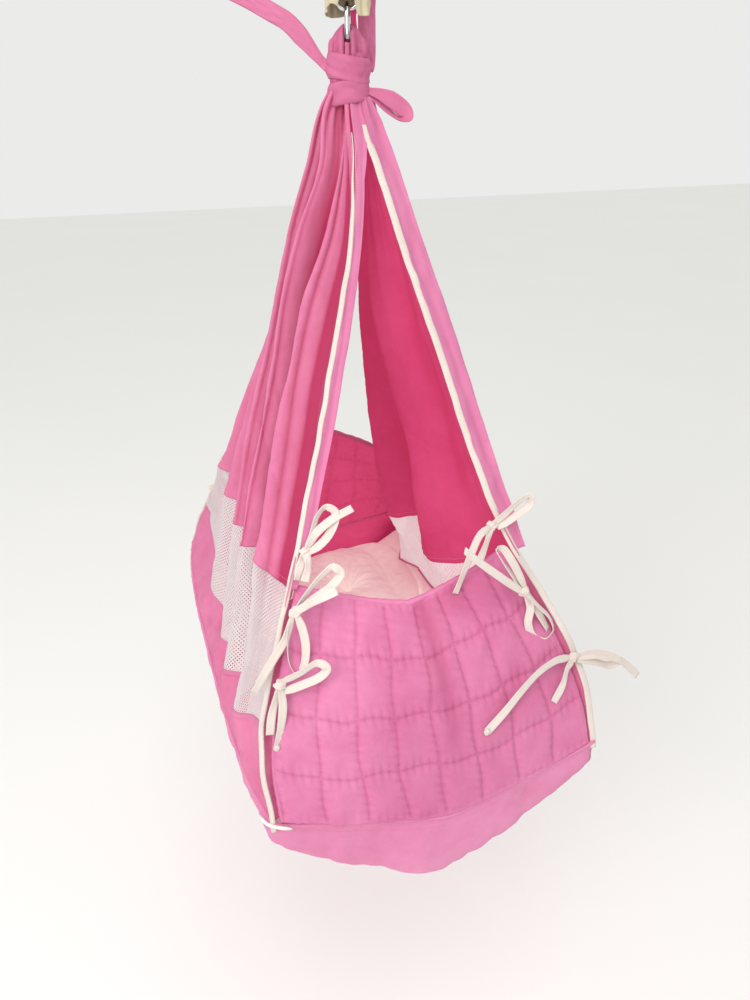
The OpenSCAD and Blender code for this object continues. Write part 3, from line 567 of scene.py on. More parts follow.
def upper_grid(cols, U, sd, nv, nu, seed, valleys=()):
    K = np.stack(cols, 1)
    top = K[:1].copy()
    top[..., :2] *= 0.6
    top[..., 2] = 699
    K = np.concatenate([top, K])
    rows = spl(K, [-0.035] + CR, np.linspace(-0.035, 1, nv))
    U = np.array(U, float)
    G = np.moveaxis(spl(np.moveaxis(rows, 1, 0), U, np.linspace(U[0], U[-1], nu)), 0, 1)
    Nn = normals(G) * sd * -1
    u = np.linspace(0, 1, nu)[None, :]
    c = np.linspace(-0.035, 1, nv)[:, None]
    edge_fade = np.clip(np.minimum(u, 1 - u) / 0.03, 0, 1)
    g = np.random.default_rng(seed)
    pl = 0
    for f, a in ((13, 1.0), (22, 0.7), (31, 0.25)):
        pl = pl + a * np.sin(2 * math.pi * (f * u + 0.5 * np.sin(3.1 * c + g.uniform(0, 6)) + g.uniform()))
    d = pl * (1.9 * np.exp(-np.clip(c, 0, 1) / 0.14) + 0.5 * np.exp(-np.clip(c, 0, 1) / 0.4))
    U0 = U[0] + u * (U[-1] - U[0])
    for uv_, dep, wd_ in valleys:
        d = d - dep * np.exp(-np.abs((U0 - uv_ - 0.05 * np.sin(4 * c + uv_)) / wd_) ** 1.3) * np.clip(0.35 + 1.2 * c, 0, 1)
    stretched = G * np.array([1, 1, 0.14])
    d = d + 1.3 * wav(stretched, 34, seed + 1) * (0.3 + 0.7 * np.clip(c, 0, 1)) + 0.3 * wav(G * np.array([1, 1, 0.5]), 22, seed + 2)
    d = d - 1.0 * crease(stretched, 52, seed + 3) * np.clip(c * 2, 0, 1)
    d = d + 0.12 * wav(G, 9, seed + 4)
    d = d * edge_fade
    # painted shade masks for the outer and inner skins, first along the pleat valleys
    shade_out = np.zeros_like(d)
    shade_in = np.zeros_like(d)
    for uv_, dep, wd_ in valleys:
        valley_shade = np.exp(-((U0 - uv_ - 0.05 * np.sin(4 * c + uv_)) / (wd_ * 0.85)) ** 2) * min(1, abs(dep) / 8)
        shade_out = shade_out + valley_shade * (1.5 if dep > 0 else 0)
        shade_in = shade_in + valley_shade * (0.8 if dep < 0 else 0)
    # painted shade: a dark wedge beside the left foot binding
    if sd < 0:
        shade_out = shade_out + 1.6 / (1 + np.exp((U0 - 0.84 + 0.05 * np.sin(5 * c)) / 0.05)) * np.clip((c - 0.04) * 5, 0, 1) * np.clip(U0 / 0.08, 0, 1)
    # painted shade in the pleat troughs near the top; then all outer shade is made weaker towards the top
    shade_out = shade_out + np.clip(-pl, 0, 1.5) * 0.4 * np.exp(-np.clip(c, 0, 1) / 0.2)
    shade_out = shade_out * (0.4 + 0.6 * np.clip(c / 0.4, 0, 1))
    # painted shade in soft random bands on the inner skin
    shade_in = shade_in + 0.35 * np.clip(-wav(stretched * np.array([1, 1, 0.6]), 46, seed + 7), 0, 1.2) * np.clip(c * 3, 0, 1)
    return G + Nn * d[..., None], (shade_out, shade_in)


def hem_groove(G, sd, at=8.0, depth=0.7):
    """A stitched hem: a shallow groove and a double fold along the last row. Returns the grid and its stitch line."""
    dv = np.linalg.norm(np.diff(G, axis=0), axis=-1).mean(1)
    s = np.concatenate([[0], np.cumsum(dv[::-1])])[::-1]
    Nn = normals(G)
    g = -depth * np.exp(-((s - at) / 1.8) ** 2) + 0.5 * (s < at)
    i = int(np.argmin(np.abs(s - at)))
    return G + Nn * (sd * -1 * g)[:, None, None], i, Nn * sd * -1


NV, NU = int(240 * RES), int(380 * RES)
# the second result of upper_grid holds the painted shade masks for each panel
GL, LEFT_PAINTED_SHADE = upper_grid(LCOLS, LU, -1, NV, NU, 11, [(0.55, 8, 0.24), (2.2, 12, 0.2), (3.5, 12, 0.2), (4.9, 10, 0.2), (6.3, 9, 0.2), (7.7, 5, 0.2), (1.2, 2.2, 0.08), (2.75, 2.4, 0.08), (4.0, 2.0, 0.08)])
GR, RIGHT_PAINTED_SHADE = upper_grid(RCOLS, RU, 1, NV, NU, 23, [(4.3, -5, 0.25), (2.2, 3, 0.3), (7.0, -3, 0.3), (3.35, 2.2, 0.12), (5.3, 2, 0.12)])
stitch_lines = []


def out_normals(G, sd):
    Nn = normals(G)
    return Nn


def orient(G, sd):
    """True when the grid's own normals point into the cradle on side sd."""
    Nn = normals(G)
    return float(Nn[..., 0].mean()) * sd < 0


for sd, G, side in ((-1, GL, "left"), (1, GR, "right")):
    fl = orient(G, sd)
    Nn = normals(G) * (-1 if fl else 1)
    dv = np.linalg.norm(np.diff(G, axis=0), axis=-1).mean(1)
    s = np.concatenate([[0], np.cumsum(dv[::-1])])[::-1]
    G = G + Nn * (-0.8 * np.exp(-((s - 8) / 1.8) ** 2) + 0.5 * (s < 8))[:, None, None]
    i = int(np.argmin(np.abs(s - 8)))
    o = sheet_mesh(side + "_upper_cloth", G, 1.2, [PINK, PINK_SHADED_INSIDE], flip=fl, fold=LEFT_PAINTED_SHADE if sd < 0 else RIGHT_PAINTED_SHADE)
    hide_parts(side + "_upper_panel")
    st = stitches(side + "_upper_hem_stitches", [(G[i] + Nn[i] * 0.75, Nn[i]), (G[i] - Nn[i] * 0.75, -Nn[i])], THREAD)
    if sd < 0:
        GL = G
    else:
        GR = G

# ------------------------------------------------------------------ mesh windows
lbot = np.array([(-190, -269, 90), (-196, -250, 88), (-213, -226, 87), (-178, -165, 70), (-209, -115, 55), (-178, -75, 45), (-200, -31, 42), (-180, 20, 40), (-196, 80, 48), (-178, 150, 60), (-172, 235, 76), (-168, 250, 82), (-174, 264, 90.0)])
rbot = np.array([(190, -269, 90), (199, -197, 72), (150, -60, 20), (146, 0, 8), (141, 59, -2), (138, 102, 2), (136, 110, 5), (122, 135, 5), (126, 156, 10), (190, 269, 90.0)])


def mid_rows(cols, U, top, bot, nu, mids, ks):
    """Grid of points between two rows of a panel, top row given as the upper cloth's last row."""
    U = np.array(U, float)
    uu = np.linspace(U[0], U[-1], nu)
    b = spl(bot, U, uu)
    t = top if len(top) == nu else np.stack([np.interp(np.linspace(0, 1, nu), np.linspace(0, 1, len(top)), top[:, k]) for k in range(3)], -1)
    rows = [t]
    for m, k in zip(mids, ks):
        rows.append(t * (1 - k) + b * k + spl(m, U, uu))
    rows.append(b)
    return np.stack(rows)


def net(name, G, cell=2.3, fill=0.5, t=0.5, body="cradle", mat=NET):
    """An open net over a surface: diamond cells with thin strands."""
    n, m = G.shape[:2]
    lu = np.linalg.norm(np.diff(G, axis=1), axis=-1).sum(1).mean()
    lv = np.linalg.norm(np.diff(G, axis=0), axis=-1).sum(0).mean()
    cu, cv = max(4, int(lu / cell) // 2 * 2), max(4, int(lv / cell) // 2 * 2)

    def at(a, b):
        x, y = np.clip(a, 0, 1) * (m - 1), np.clip(b, 0, 1) * (n - 1)
        i, j = np.minimum(x.astype(int), m - 2), np.minimum(y.astype(int), n - 2)
        fx, fy = (x - i)[..., None], (y - j)[..., None]
        return (G[j, i] * (1 - fx) + G[j, i + 1] * fx) * (1 - fy) + (G[j + 1, i] * (1 - fx) + G[j + 1, i + 1] * fx) * fy

    Nn = normals(G)

    def nat(a, b):
        x, y = np.clip(a, 0, 1) * (m - 1), np.clip(b, 0, 1) * (n - 1)
        return Nn[np.round(y).astype(int), np.round(x).astype(int)]

    ii, jj = np.meshgrid(np.arange(cu + 1), np.arange(cv + 1))
    odd = (ii + jj) % 2 == 1
    ci, cj = ii[odd], jj[odd]
    nodes_a = (ii / cu).ravel()
    nodes_b = (jj / cv).ravel()
    P0 = at(nodes_a, nodes_b)
    N0 = nat(nodes_a, nodes_b)
    nid = (jj * (cu + 1) + ii)
    K = len(ci)
    offs = [(-1, 0), (0, -1), (1, 0), (0, 1)]
    corners = np.zeros((K, 4), int)
    inner = np.zeros((K, 4, 3))
    innern = np.zeros((K, 4, 3))
    for q, (di, dj) in enumerate(offs):
        a, b = np.clip(ci + di, 0, cu), np.clip(cj + dj, 0, cv)
        corners[:, q] = nid[b, a]
        fa, fb = (ci + (a - ci) * fill) / cu, (cj + (b - cj) * fill) / cv
        inner[:, q] = at(fa, fb)
        innern[:, q] = nat(fa, fb)
    V0 = np.concatenate([P0, inner.reshape(-1, 3)])
    NN = np.concatenate([N0, innern.reshape(-1, 3)])
    base = len(P0)
    F = []
    for q in range(4):
        q2 = (q + 1) % 4
        F.append(np.stack([corners[:, q], corners[:, q2], base + np.arange(K) * 4 + q2, base + np.arange(K) * 4 + q], -1))
    F = np.concatenate(F)
    ok = (F[:, 0] != F[:, 1])
    F = F[ok]
    used = np.unique(F)
    remap = -np.ones(len(V0), int)
    remap[used] = np.arange(len(used))
    V0, NN, F = V0[used], NN[used], remap[F]
    nV = len(V0)
    V = np.concatenate([V0 + NN * t / 2, V0 - NN * t / 2])
    # the rims of every hole close the strands
    edges = {}
    e = np.concatenate([F[:, [0, 1]], F[:, [1, 2]], F[:, [2, 3]], F[:, [3, 0]]])
    key = np.sort(e, 1)
    _, first, count = np.unique(key[:, 0].astype(np.int64) * nV + key[:, 1], return_index=True, return_counts=True)
    b = e[first[count == 1]]
    rim = np.stack([b[:, 1], b[:, 0], b[:, 0] + nV, b[:, 1] + nV], -1)
    FF = np.concatenate([F, F[:, ::-1] + nV, rim])
    uv = np.stack([V[:, 1], V[:, 2]], -1) / 1000
    return add_mesh(name, V, FF, [mat], uv, None, body)


def finer(G, n):
    """More rows, smoothly."""
    t = np.linspace(0, 1, len(G))
    return spl(G, t, np.linspace(0, 1, n))


nul = int(300 * RES)
lm_mid = np.zeros_like(lbot)
lm_mid[2, 0] = 6
Gm = mid_rows(LCOLS, LU, GL[-1], lbot, nul, [lm_mid], [0.5])
Gm = finer(Gm, 50)
t_ = np.linspace(0, 1, 50)[:, None]
u_ = np.linspace(0, 1, nul)[None, :]
ef = np.clip(np.minimum(u_, 1 - u_) / 0.03, 0, 1)
sideedge = edge(-1, -1, GL[-1, 0, 2] + (90 - GL[-1, 0, 2]) * t_[:, 0])
Gm = Gm + np.exp(-(u_ / 0.04) ** 2)[..., None] * (sideedge - Gm[:, 0])[:, None, :]
sideedge = edge(-1, 1, GL[-1, -1, 2] + (90 - GL[-1, -1, 2]) * t_[:, 0])
Gm = Gm + np.exp(-((1 - u_) / 0.04) ** 2)[..., None] * (sideedge - Gm[:, -1])[:, None, :]
Gm = Gm + (normals(Gm) * (1.3 * wav(Gm * np.array([1, 1, 0.4]), 30, 61) + 0.6 * wav(Gm, 14, 62))[..., None]) * (ef * np.sin(math.pi * t_))[..., None]
LMESH = Gm
o = net("left_mesh_net", Gm)
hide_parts("left_mesh_window")
NETS = [(o, Gm)]

rm_mid = np.zeros_like(rbot)
rm_mid[1] = (10, 0, 0)
rm_mid[9] = (0, 0, 0)
Gm = mid_rows(RCOLS, RU, GR[-1], rbot, nul, [rm_mid], [0.5])
Gm = finer(Gm, 56)
t_ = np.linspace(0, 1, 56)[:, None]
sideedge = edge(1, -1, GR[-1, 0, 2] + (90 - GR[-1, 0, 2]) * t_[:, 0])
Gm = Gm + np.exp(-(u_ / 0.04) ** 2)[..., None] * (sideedge - Gm[:, 0])[:, None, :]
sideedge = edge(1, 1, GR[-1, -1, 2] + (90 - GR[-1, -1, 2]) * t_[:, 0])
Gm = Gm + np.exp(-((1 - u_) / 0.04) ** 2)[..., None] * (sideedge - Gm[:, -1])[:, None, :]
Gm = Gm + (normals(Gm) * (1.3 * wav(Gm * np.array([1, 1, 0.4]), 30, 71) + 0.6 * wav(Gm, 14, 72))[..., None]) * (ef * np.sin(math.pi * t_))[..., None]
RMESH = Gm
o = net("right_mesh_net", Gm, mat=NET_IN)
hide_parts("right_mesh_window")
NETS.append((o, Gm))

# ------------------------------------------------------------------ lower side panels
for sd, top, bot, side, U in ((-1, LMESH[-1], lbot, "left", LU), (1, RMESH[-1], rbot, "right", RU)):
    n, m = 44, nul
    tt = top[:, 1] / 269.0
    y = 320 * np.clip(tt * 1.0, -1, 1)
    y = np.interp(np.linspace(0, 1, m), np.linspace(0, 1, m), y)
    low = np.stack([sd * (194 + 20 * (1 - np.abs(y / 320) ** 3.5)), y, np.zeros(m)], -1)
    q = np.linspace(0, 1, n)[:, None]
    G = top[None] * (1 - q)[..., None] + low[None] * q[..., None]
    bulge = np.sin(math.pi * q)
    G = G + np.stack([sd * (6 if sd < 0 else 4) * bulge * np.ones((1, m)), np.zeros((n, m)), (0 if sd < 0 else 7) * bulge * np.ones((1, m))], -1)
    uu = np.linspace(0, 1, m)[None, :]
    for en, w in ((-1, np.exp(-(uu / 0.05) ** 2)), (1, np.exp(-((1 - uu) / 0.05) ** 2))):
        e = edge(sd, en, 90 * (1 - q[:, 0]))
        src = G[:, 0] if en < 0 else G[:, -1]
        G = G + w[..., None] * (e - src)[:, None, :]
    fade = np.clip(np.minimum(uu, 1 - uu) / 0.04, 0, 1) * np.sin(math.pi * q) ** 0.5
    d = 1.8 * wav(G * np.array([1, 1, 0.5]), 38, 80 + sd) + 0.8 * wav(G, 17, 82 + sd) - 1.5 * crease(G * np.array([1, 1, 0.4]), 44, 84 + sd)
    fl = orient(G, sd)
    Nn = normals(G) * (-1 if fl else 1)
    G = G + Nn * (d * fade)[..., None]
    o = sheet_mesh(side + "_lower_cloth", G, 1.4, [PINK, PINK_SHADED_INSIDE], flip=fl)
    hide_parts(side + "_lower_panel")
    st = stitches(side + "_lower_top_stitches", [(G[3] + Nn[3] * 0.85, Nn[3]), (G[3] - Nn[3] * 0.85, -Nn[3])], THREAD)
    # the mesh's lower hem: a narrow folded band where the net joins the cloth
    hem = sweep(side + "_mesh_hem", curve(top, 240), flat_prof(7, 2.2, 5), [PINK], A=(G[4] - top)[np.linspace(0, m - 1, 240).astype(int)])

for o, G in NETS:
    a = sum(p.area for p in o.data.polygons) / 2
    w = float(np.linalg.norm(np.diff(G[0], axis=0), axis=-1).sum()) / 1000
    l = float(np.linalg.norm(np.diff(G, axis=0), axis=-1).sum(0).mean()) / 1000
    ar = min(max(a, 0.31 * w * l), w * l)

# ------------------------------------------------------------------ bindings and facings
for sd, side in ((-1, "left"), (1, "right")):
    for en, end in ((-1, "foot"), (1, "head")):
        h = np.linspace(-8, 655 if sd < 0 else 662, 260)
        P = edge(sd, en, h)
        P = P + np.stack([0.5 * wav(P, 40, 90 + sd + 2 * en), 0.4 * wav(P, 33, 95 + sd), np.zeros(len(h))], -1)
        pr_ = flat_prof(5.8 if sd < 0 else 8.8, 2.2, 5, 0.25)
        o = sweep(f"{side}_{end}_ribbon", P, pr_, [CREAM], A=(1.0, 0.12 * sd, 0.0), scale=np.interp(h, [520, 585, 620, 655], [1, 0.7, 0.3, 0.2]) if sd < 0 else np.interp(h, [640, 662], [1, 0.6]))
        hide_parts(f"{side}_{end}_binding")
        st = stitches(f"{side}_{end}_ribbon_stitches", [(P + np.array([1.9, en * 1.2, 0]), np.array([0, en, 0.0])), (P + np.array([-1.9, en * 1.2, 0]), np.array([0, en, 0.0]))], CREAM, pitch=3.2, length=2.0, r=0.22)
        # facing: a folded strip of the panel turned over beside the binding
        k = np.linspace(0, 1, 22)[None, :]
        hh = np.linspace(206, 688, 180)[:, None]
        if sd > 0:
            w = 25 * np.interp(hh, [206, 208, 248, 380, 500, 560, 640, 665, 680, 688], [0.5, 0.55, 0.9, 1, 0.97, 0.95, 0.9, 0.78, 0.55, 0.4])
        else:
            w = 14 * np.interp(hh, [206, 208, 248, 380, 500, 560, 610, 645, 668, 680, 688], [0.5, 0.55, 0.9, 1, 0.85, 0.72, 0.75, 1.05, 1.15, 1.0, 0.8])
        E = edge(sd, en, hh[:, 0])[:, None, :]
        G = E + np.stack([2.4 + w * k, -en * (0.1 if sd < 0 else 0.25) * w * k - en * 2.5 * np.sin(math.pi * k) * (w / 25), 0 * w * k], -1)
        G = G + np.stack([0 * k * hh, en * 1.2 * np.sin(k * 9 + hh / 60) * k * (w / 25), 0 * k * hh], -1)
        fl = float(normals(G)[..., 1].mean()) * en < 0
        Nn = normals(G) * (-1 if fl else 1)
        G = G + Nn * (0.9 * wav(G * np.array([1, 1, 0.3]), 24, 101 + sd + en) * np.clip(k * 4, 0, 1))[..., None]
        o = sheet_mesh(f"{side}_{end}_strip", G, 1.3, [STRIP, PINK], flip=fl)
        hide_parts(f"{side}_{end}_facing")
        st = stitches(f"{side}_{end}_strip_stitches", [(G[:, 18] + Nn[:, 18] * 0.8, Nn[:, 18]), (G[:, 18] - Nn[:, 18] * 0.8, -Nn[:, 18])], THREAD)

# ------------------------------------------------------------------ quilted end flaps
FLAPS = {
    -1: ("foot", [(338, -33.4), (309, 22), (281, 75), (248, 125), (206, 168)], [(186, 322, 2.6), (186, 290, 50), (172, 256, 104), (150, 222, 156), (128, 186, 203)]),
    1: ("head", [(338, -33.4), (318, 30), (290, 96), (252, 162), (204, 226)], [(186, 322, 2.6), (184, 292, 46), (168, 262, 92), (150, 230, 128), (134, 196, 160)]),
}
VR = np.array([0, 0.25, 0.5, 0.75, 1.0])
for en, (end, keel, eg) in FLAPS.items():
    n, m = int(190 * RES), int(300 * RES)
    keel, eg = np.array(keel, float), np.array(eg, float)
    v = np.linspace(0, 1, n)
    u = np.linspace(-1, 1, m)
    k_ = spl(keel, VR, v)
    e_ = spl(eg, VR, v)
    g = np.abs(u)[None, :] ** 1.3
    swell = 16 * np.sin(math.pi * np.minimum(1, v + 0.05))[:, None] * np.sin(math.pi * np.abs(u))[None, :]
    X = e_[:, :1] * u[None, :]
    Y = en * (k_[:, :1] * (1 - g) + e_[:, 1:2] * g + 0.8 * swell + 5.0 * np.exp(-np.abs(u)[None, :] / 0.1) * np.sin(math.pi * v)[:, None] ** 0.5)
    Z = k_[:, 1:2] * (1 - g) + e_[:, 2:3] * g - 0.5 * swell
    G = np.stack([X, Y, Z], -1)
    fl = float(normals(G)[..., 1].mean()) * en < 0
    Nn = normals(G) * (-1 if fl else 1)
    uu = (u[None, :] + 1) / 2 * 8 + 0.07 * np.sin(5.0 * v[:, None] + 3 * u[None, :]) + 0.03 * np.sin(17 * v[:, None] + 9 * u[None, :])
    # the columns lean a little, as cut
    vv = v[:, None] * 4 + 0.05 * np.sin(7 * u[None, :] + 2 * v[:, None]) + 0.025 * np.sin(19 * u[None, :])
    ws = G[:, 1:, 0]
    du = np.abs((uu + 0.5) % 1 - 0.5) * (G[:, -1, 0] - G[:, 0, 0])[:, None] / 8
    dv = np.abs((vv + 0.5) % 1 - 0.5) * 58
    dist = np.minimum(du, dv)
    puff = 1 - np.exp(-(np.sqrt(dist**2 + 1.7) - 1.3) / 5.6)
    pk = np.sin(2 * math.pi * (G[..., 2] + 0.3 * G[..., 0]) / 8.5) * np.exp(-(du / 10.0) ** 2) * np.clip(dv / 6, 0, 1) + np.sin(2 * math.pi * G[..., 0] / 9.5) * np.exp(-(dv / 9.0) ** 2) * np.clip(du / 6, 0, 1)
    cell = np.sin(2 * math.pi * uu + 0.6) * 0.9 * np.clip(du / 8, 0, 1)
    saw = ((uu % 1) - 0.5) * np.clip(du / 4, 0, 1) * 2.4 * np.where(u[None, :] > 0, 1.0, -0.6)
    kv = np.exp(-((u[None, :] - 0.16 + 0.07 * v[:, None]) / 0.075) ** 2) * np.clip(v[:, None] * 1.6, 0, 1) * (1.0 if en < 0 else 0.4)
    saw = saw - 6.0 * kv
    d = 5.6 * puff - 2.6 + saw + 1.3 * pk + 1.8 * wav(G, 52, 120 + en) + 0.7 * wav(G, 24, 122 + en) - 1.3 * crease(G, 95, 124 + en) * puff + cell
    rim = np.clip(np.minimum(np.minimum(v, 1 - v)[:, None] * 190, (1 - np.abs(u))[None, :] * 160) / 6, 0, 1) ** 0.7
    d = d * rim
    # painted shade: the colour darkens along the quilting seams, the keel crease, the top right and all but the left
    # part of the foot flap; the inner skin darkens along the seams
    o = sheet_mesh(f"{end}_flap_quilt", G + Nn * (d / 2)[..., None], 5.2, [QUILT, QUILT_SHADED_INSIDE], flip=fl, t_in=2.6 + np.clip(d, -1, 5) * 0.3, fold=((0.26 * np.exp(-((dist / 2.2) ** 2)) + 0.3 * kv + 0.35 * np.clip(v[:, None] * 4 - 3, 0, 1) * np.clip(1 - np.abs(u[None, :] - 0.4) / 0.4, 0, 1) + 0.2 * np.clip((u[None, :] + 0.55) * 3, 0, 1) * (en < 0)) * rim, 0.22 * np.exp(-((dist / 2.8) ** 2)) * rim))
    # the shell above is shifted by half the puff on each face
    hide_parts(f"{end}_flap")
    lines = []
    S_ = G + Nn * (d / 2 + 2.6)[..., None]
    ar = np.arange(3, n - 3)
    for j in range(1, 8):
        i = np.argmin(np.abs(uu - j), axis=1)[3:-3]
        lines.append((S_[ar, i], Nn[ar, i]))
    br = np.arange(3, m - 3)
    for j in (1, 2, 3):
        i = np.argmin(np.abs(vv - j), axis=0)[3:-3]
        lines.append((S_[i, br], Nn[i, br]))
    st = stitches(f"{end}_flap_quilting", lines, THREAD, pitch=3.6, length=2.0, r=0.22)
    lines = []
    for i in (int(0.02 * m), int(0.98 * m)):
        lines.append((S_[2:-2, i], Nn[2:-2, i]))
    st = stitches(f"{end}_flap_serging", lines, THREAD, pitch=2.4, length=4.2, r=0.35, across=math.pi / 2.4)
    # rolled top edge
    T_ = G[-1] + Nn[-1] * 0.2
    o = sweep(f"{end}_flap_top_roll", T_[::2], round_prof(3.4, 10), [QUILT], scale=(1 + 0.12 * wav(T_[::2], 14, 131)))

# the facing runs on down beside each flap to the seam
for sd, side in ((-1, "left"), (1, "right")):
    for en, (end, keel, eg) in FLAPS.items():
        eg = np.array(eg, float)
        hh = np.linspace(2, 192 if en < 0 else 158, 90)
        k = np.linspace(0, 1, 16)[None, :, None]
        E = edge(sd, en, hh)
        v_h = np.interp(hh, eg[:, 2], np.arange(5) / 4)
        Fp = spl(eg, VR, v_h)
        Fp = np.stack([sd * (Fp[:, 0] - 5), en * (Fp[:, 1] - 5), Fp[:, 2]], -1)
        G = (E + np.array([-sd * 2.0, -en * 1.5, 0]))[:, None] * (1 - k) + Fp[:, None] * k
        G = G - np.array([0, en, 0]) * (3.5 * np.sin(math.pi * k))
        G = G + np.array([0, en, 0]) * (0.8 * wav(G, 22, 135 + sd + en) * np.sin(math.pi * k[..., 0]))[..., None]
        fl = float(normals(G)[..., 1].mean()) * en < 0
        o = sheet_mesh(f"{side}_{end}_lower_strip", G, 1.2, [PINK, PINK_SHADED_INSIDE], flip=fl)

# ------------------------------------------------------------------ base cover
n, m = int(90 * RES), int(420 * RES)
th = np.linspace(0, 2 * math.pi, m)


def plan_w(y, off=0.0):
    return 194 + 20 * (1 - np.minimum(1, np.abs(y) / 320) ** 3.5) - off


def plan_l(u, off=0.0):
    return 320 + 18 * (1 - np.abs(u)) - off


def base_z(u):
    return -37 - 95 * (1 - np.minimum(1, np.abs(u)) ** 1.5)


def seam_z(u):
    return -36 * (1 - np.minimum(1, np.abs(u)) ** 1.3)


# rim in plan: four sides, evenly spaced
side_y = np.linspace(-320, 320, 100)
end_u = np.linspace(1, -1, 80)[1:-1]
rim = np.concatenate([
    np.stack([plan_w(side_y), side_y, np.zeros(100)], -1),
    np.stack([end_u * 194, plan_l(end_u), seam_z(end_u)], -1),
    np.stack([-plan_w(side_y[::-1]), side_y[::-1], np.zeros(100)], -1),
    np.stack([-end_u * 194, -plan_l(end_u), seam_z(end_u)], -1),
])
rim = np.concatenate([rim, rim[:1]])
L = np.concatenate([[0], np.cumsum(np.linalg.norm(np.diff(rim, axis=0), axis=1))])
rim = np.stack([np.interp(np.linspace(0, L[-1], m), L, rim[:, k]) for k in range(3)], -1)
dirn = rim[:, :2] / np.linalg.norm(rim[:, :2], axis=1, keepdims=True)
s = np.linspace(0, 1, n)[:, None]
wall = 0.36
a = np.clip(s / wall, 0, 1)
b = np.clip((s - wall) / (1 - wall), 0, 1)
u_r = rim[None, :, 0] / plan_w(rim[None, :, 1])
scale = (1 - 0.02 * a**5) * (1 - b)
x = rim[None, :, 0] * scale
y = rim[None, :, 1] * scale
uin = np.clip(x / plan_w(y), -1, 1)
zb = base_z(uin)
zw = seam_z(u_r) + (zb - seam_z(u_r)) * (1 - (1 - a) ** 1.25)
z = np.where(s < wall, zw, zb)
G = np.stack([x, y, z], -1)
G = blur(G, 3)
G[0] = rim
G[:, 0] = G[:, -1] = (G[:, 0] + G[:, -1]) / 2
fl = float((normals(G)[: n // 4, :, :2] * dirn[None]).sum(-1).mean()) < 0
Nn = normals(G) * (-1 if fl else 1)
wd = 1.5 * wav(G * np.array([1, 1, 0.5]), 62, 141) + 0.6 * wav(G, 19, 142) - 1.3 * crease(G * np.array([0.7, 0.7, 1.2]), 60, 143) - 1.1 * crease(G * np.array([1.2, 1.2, 0.3]), 90, 147)
wd = wd * np.clip(s / 0.06, 0, 1) * np.clip((1 - s) / 0.1, 0, 1)
wd[:, 0] = wd[:, -1] = (wd[:, 0] + wd[:, -1]) / 2
corner = np.exp(-(((np.abs(rim[:, 0]) - 194) / 9) ** 2 + ((np.abs(rim[:, 1]) - 320) / 9) ** 2))[None, :]
wd = wd - 2.0 * corner * np.clip(s / 0.05, 0, 1) * (s < wall * 1.3)
G = G + Nn * wd[..., None]
o = sheet_mesh("base_cloth", G, 3.0, [BASEC, QUILT_SHADED_INSIDE], flip=fl)
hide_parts("base_cover")
seam = rim.copy()
seam[:, :2] += dirn * 1.2
seam = seam[:-1]
o = sweep("base_top_seam", seam, round_prof(2.6, 10), [BASEC], A=(0, 0, 1), closed=True, scale=1 + 0.1 * wav(seam, 12, 151))
st = stitches("base_seam_stitches", [(G[int(n * 0.05)] + Nn[int(n * 0.05)] * 1.7, Nn[int(n * 0.05)])], THREAD)
P = curve([(-206, -306, 3), (-200, -318, 1), (-190, -325, 0), (-176, -329, -3)], 20)
o = sweep("corner_piping", P, round_prof(2.0, 8), [WHITE], A=(0, 0, 1), scale=np.interp(np.arange(20), [0, 3, 16, 19], [0.5, 1, 1, 0.5]))

# ------------------------------------------------------------------ mattress and pillow
n, m = int(130 * RES), int(180 * RES)


def inner_w(y):
    return plan_w(y, 11)


tt = np.linspace(-1, 1, n)[:, None] * np.ones((1, m))
uu = np.linspace(-1, 1, m)[None, :] * np.ones((n, 1))
y = tt * (plan_l(uu, 12))
x = uu * inner_w(y)
bz = base_z(uu) + 4.6
mx = np.maximum(np.abs(uu), np.abs(tt))
puff = 15 * (0.75 + 0.25 * (1 - mx**6))
edge_r = np.clip((1 - mx) / 0.03, 0, 1) ** 0.5
ztop = bz + puff * (0.35 + 0.65 * edge_r)
top = np.stack([x, y, ztop], -1)
dm = 1.2 * wav(top, 55, 161) + 0.6 * wav(top, 20, 162) - 2.2 * np.exp(-((np.abs((y + 40) % 80 - 40)) / 7) ** 2) + 0.8
top[..., 2] += dm * edge_r
bot = np.stack([x, y, bz - 1.0], -1)
V = np.concatenate([top.reshape(-1, 3), bot.reshape(-1, 3)])
I = np.arange(n * m).reshape(n, m)
q = np.stack([I[:-1, :-1], I[:-1, 1:], I[1:, 1:], I[1:, :-1]], -1).reshape(-1, 4)
loop = np.concatenate([I[0, :], I[1:, -1], I[-1, -2::-1], I[-2:0:-1, 0]])
nx = np.roll(loop, -1)
F = np.concatenate([q, q[:, ::-1] + n * m, np.stack([nx, loop, loop + n * m, nx + n * m], -1)])
uvm = V[:, :2] / 1000
o = add_mesh("bed_mattress", V, F, [PALE], uvm)
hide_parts("mattress")

# pillow: two faces over a rounded square, pulled down at the tuft, creases running in to it
n, m = int(90 * RES), int(260 * RES)
r = np.linspace(0, 1, n)[:, None]
th = np.linspace(0, 2 * math.pi, m)[None, :]
ct, sn = np.cos(th), np.sin(th)
half = 110.0
se = half / (np.abs(ct) ** 3 + np.abs(sn) ** 3) ** (1 / 3)
px = 38 + se * r * ct
py = 180 + se * r * sn
bed = base_z(px / plan_w(0, 5)) + 2.4 + 15 + 2
bed0 = base_z(0) + 19.4
lean = np.clip(r * sn, 0, 1) ** 1.4
g_ = np.random.default_rng(5)
rad = 0
for f, am in ((8, 1.0), (13, 0.8), (21, 0.6)):
    rad = rad + am * np.sin(f * th + g_.uniform(0, 6) + 0.8 * np.sin(2 * th + r * 2))
tuft = np.exp(-(r / 0.15) ** 1.2)
topz = np.maximum(bed + 24, bed0 + 70 * (1 - 0.5 * r**3)) + 38 * lean - 30 * tuft
edge_roll = (1 - np.clip(r, 0, 1) ** 10) ** 0.5
low = bed + 2 + 8 * r**4 + 30 * lean
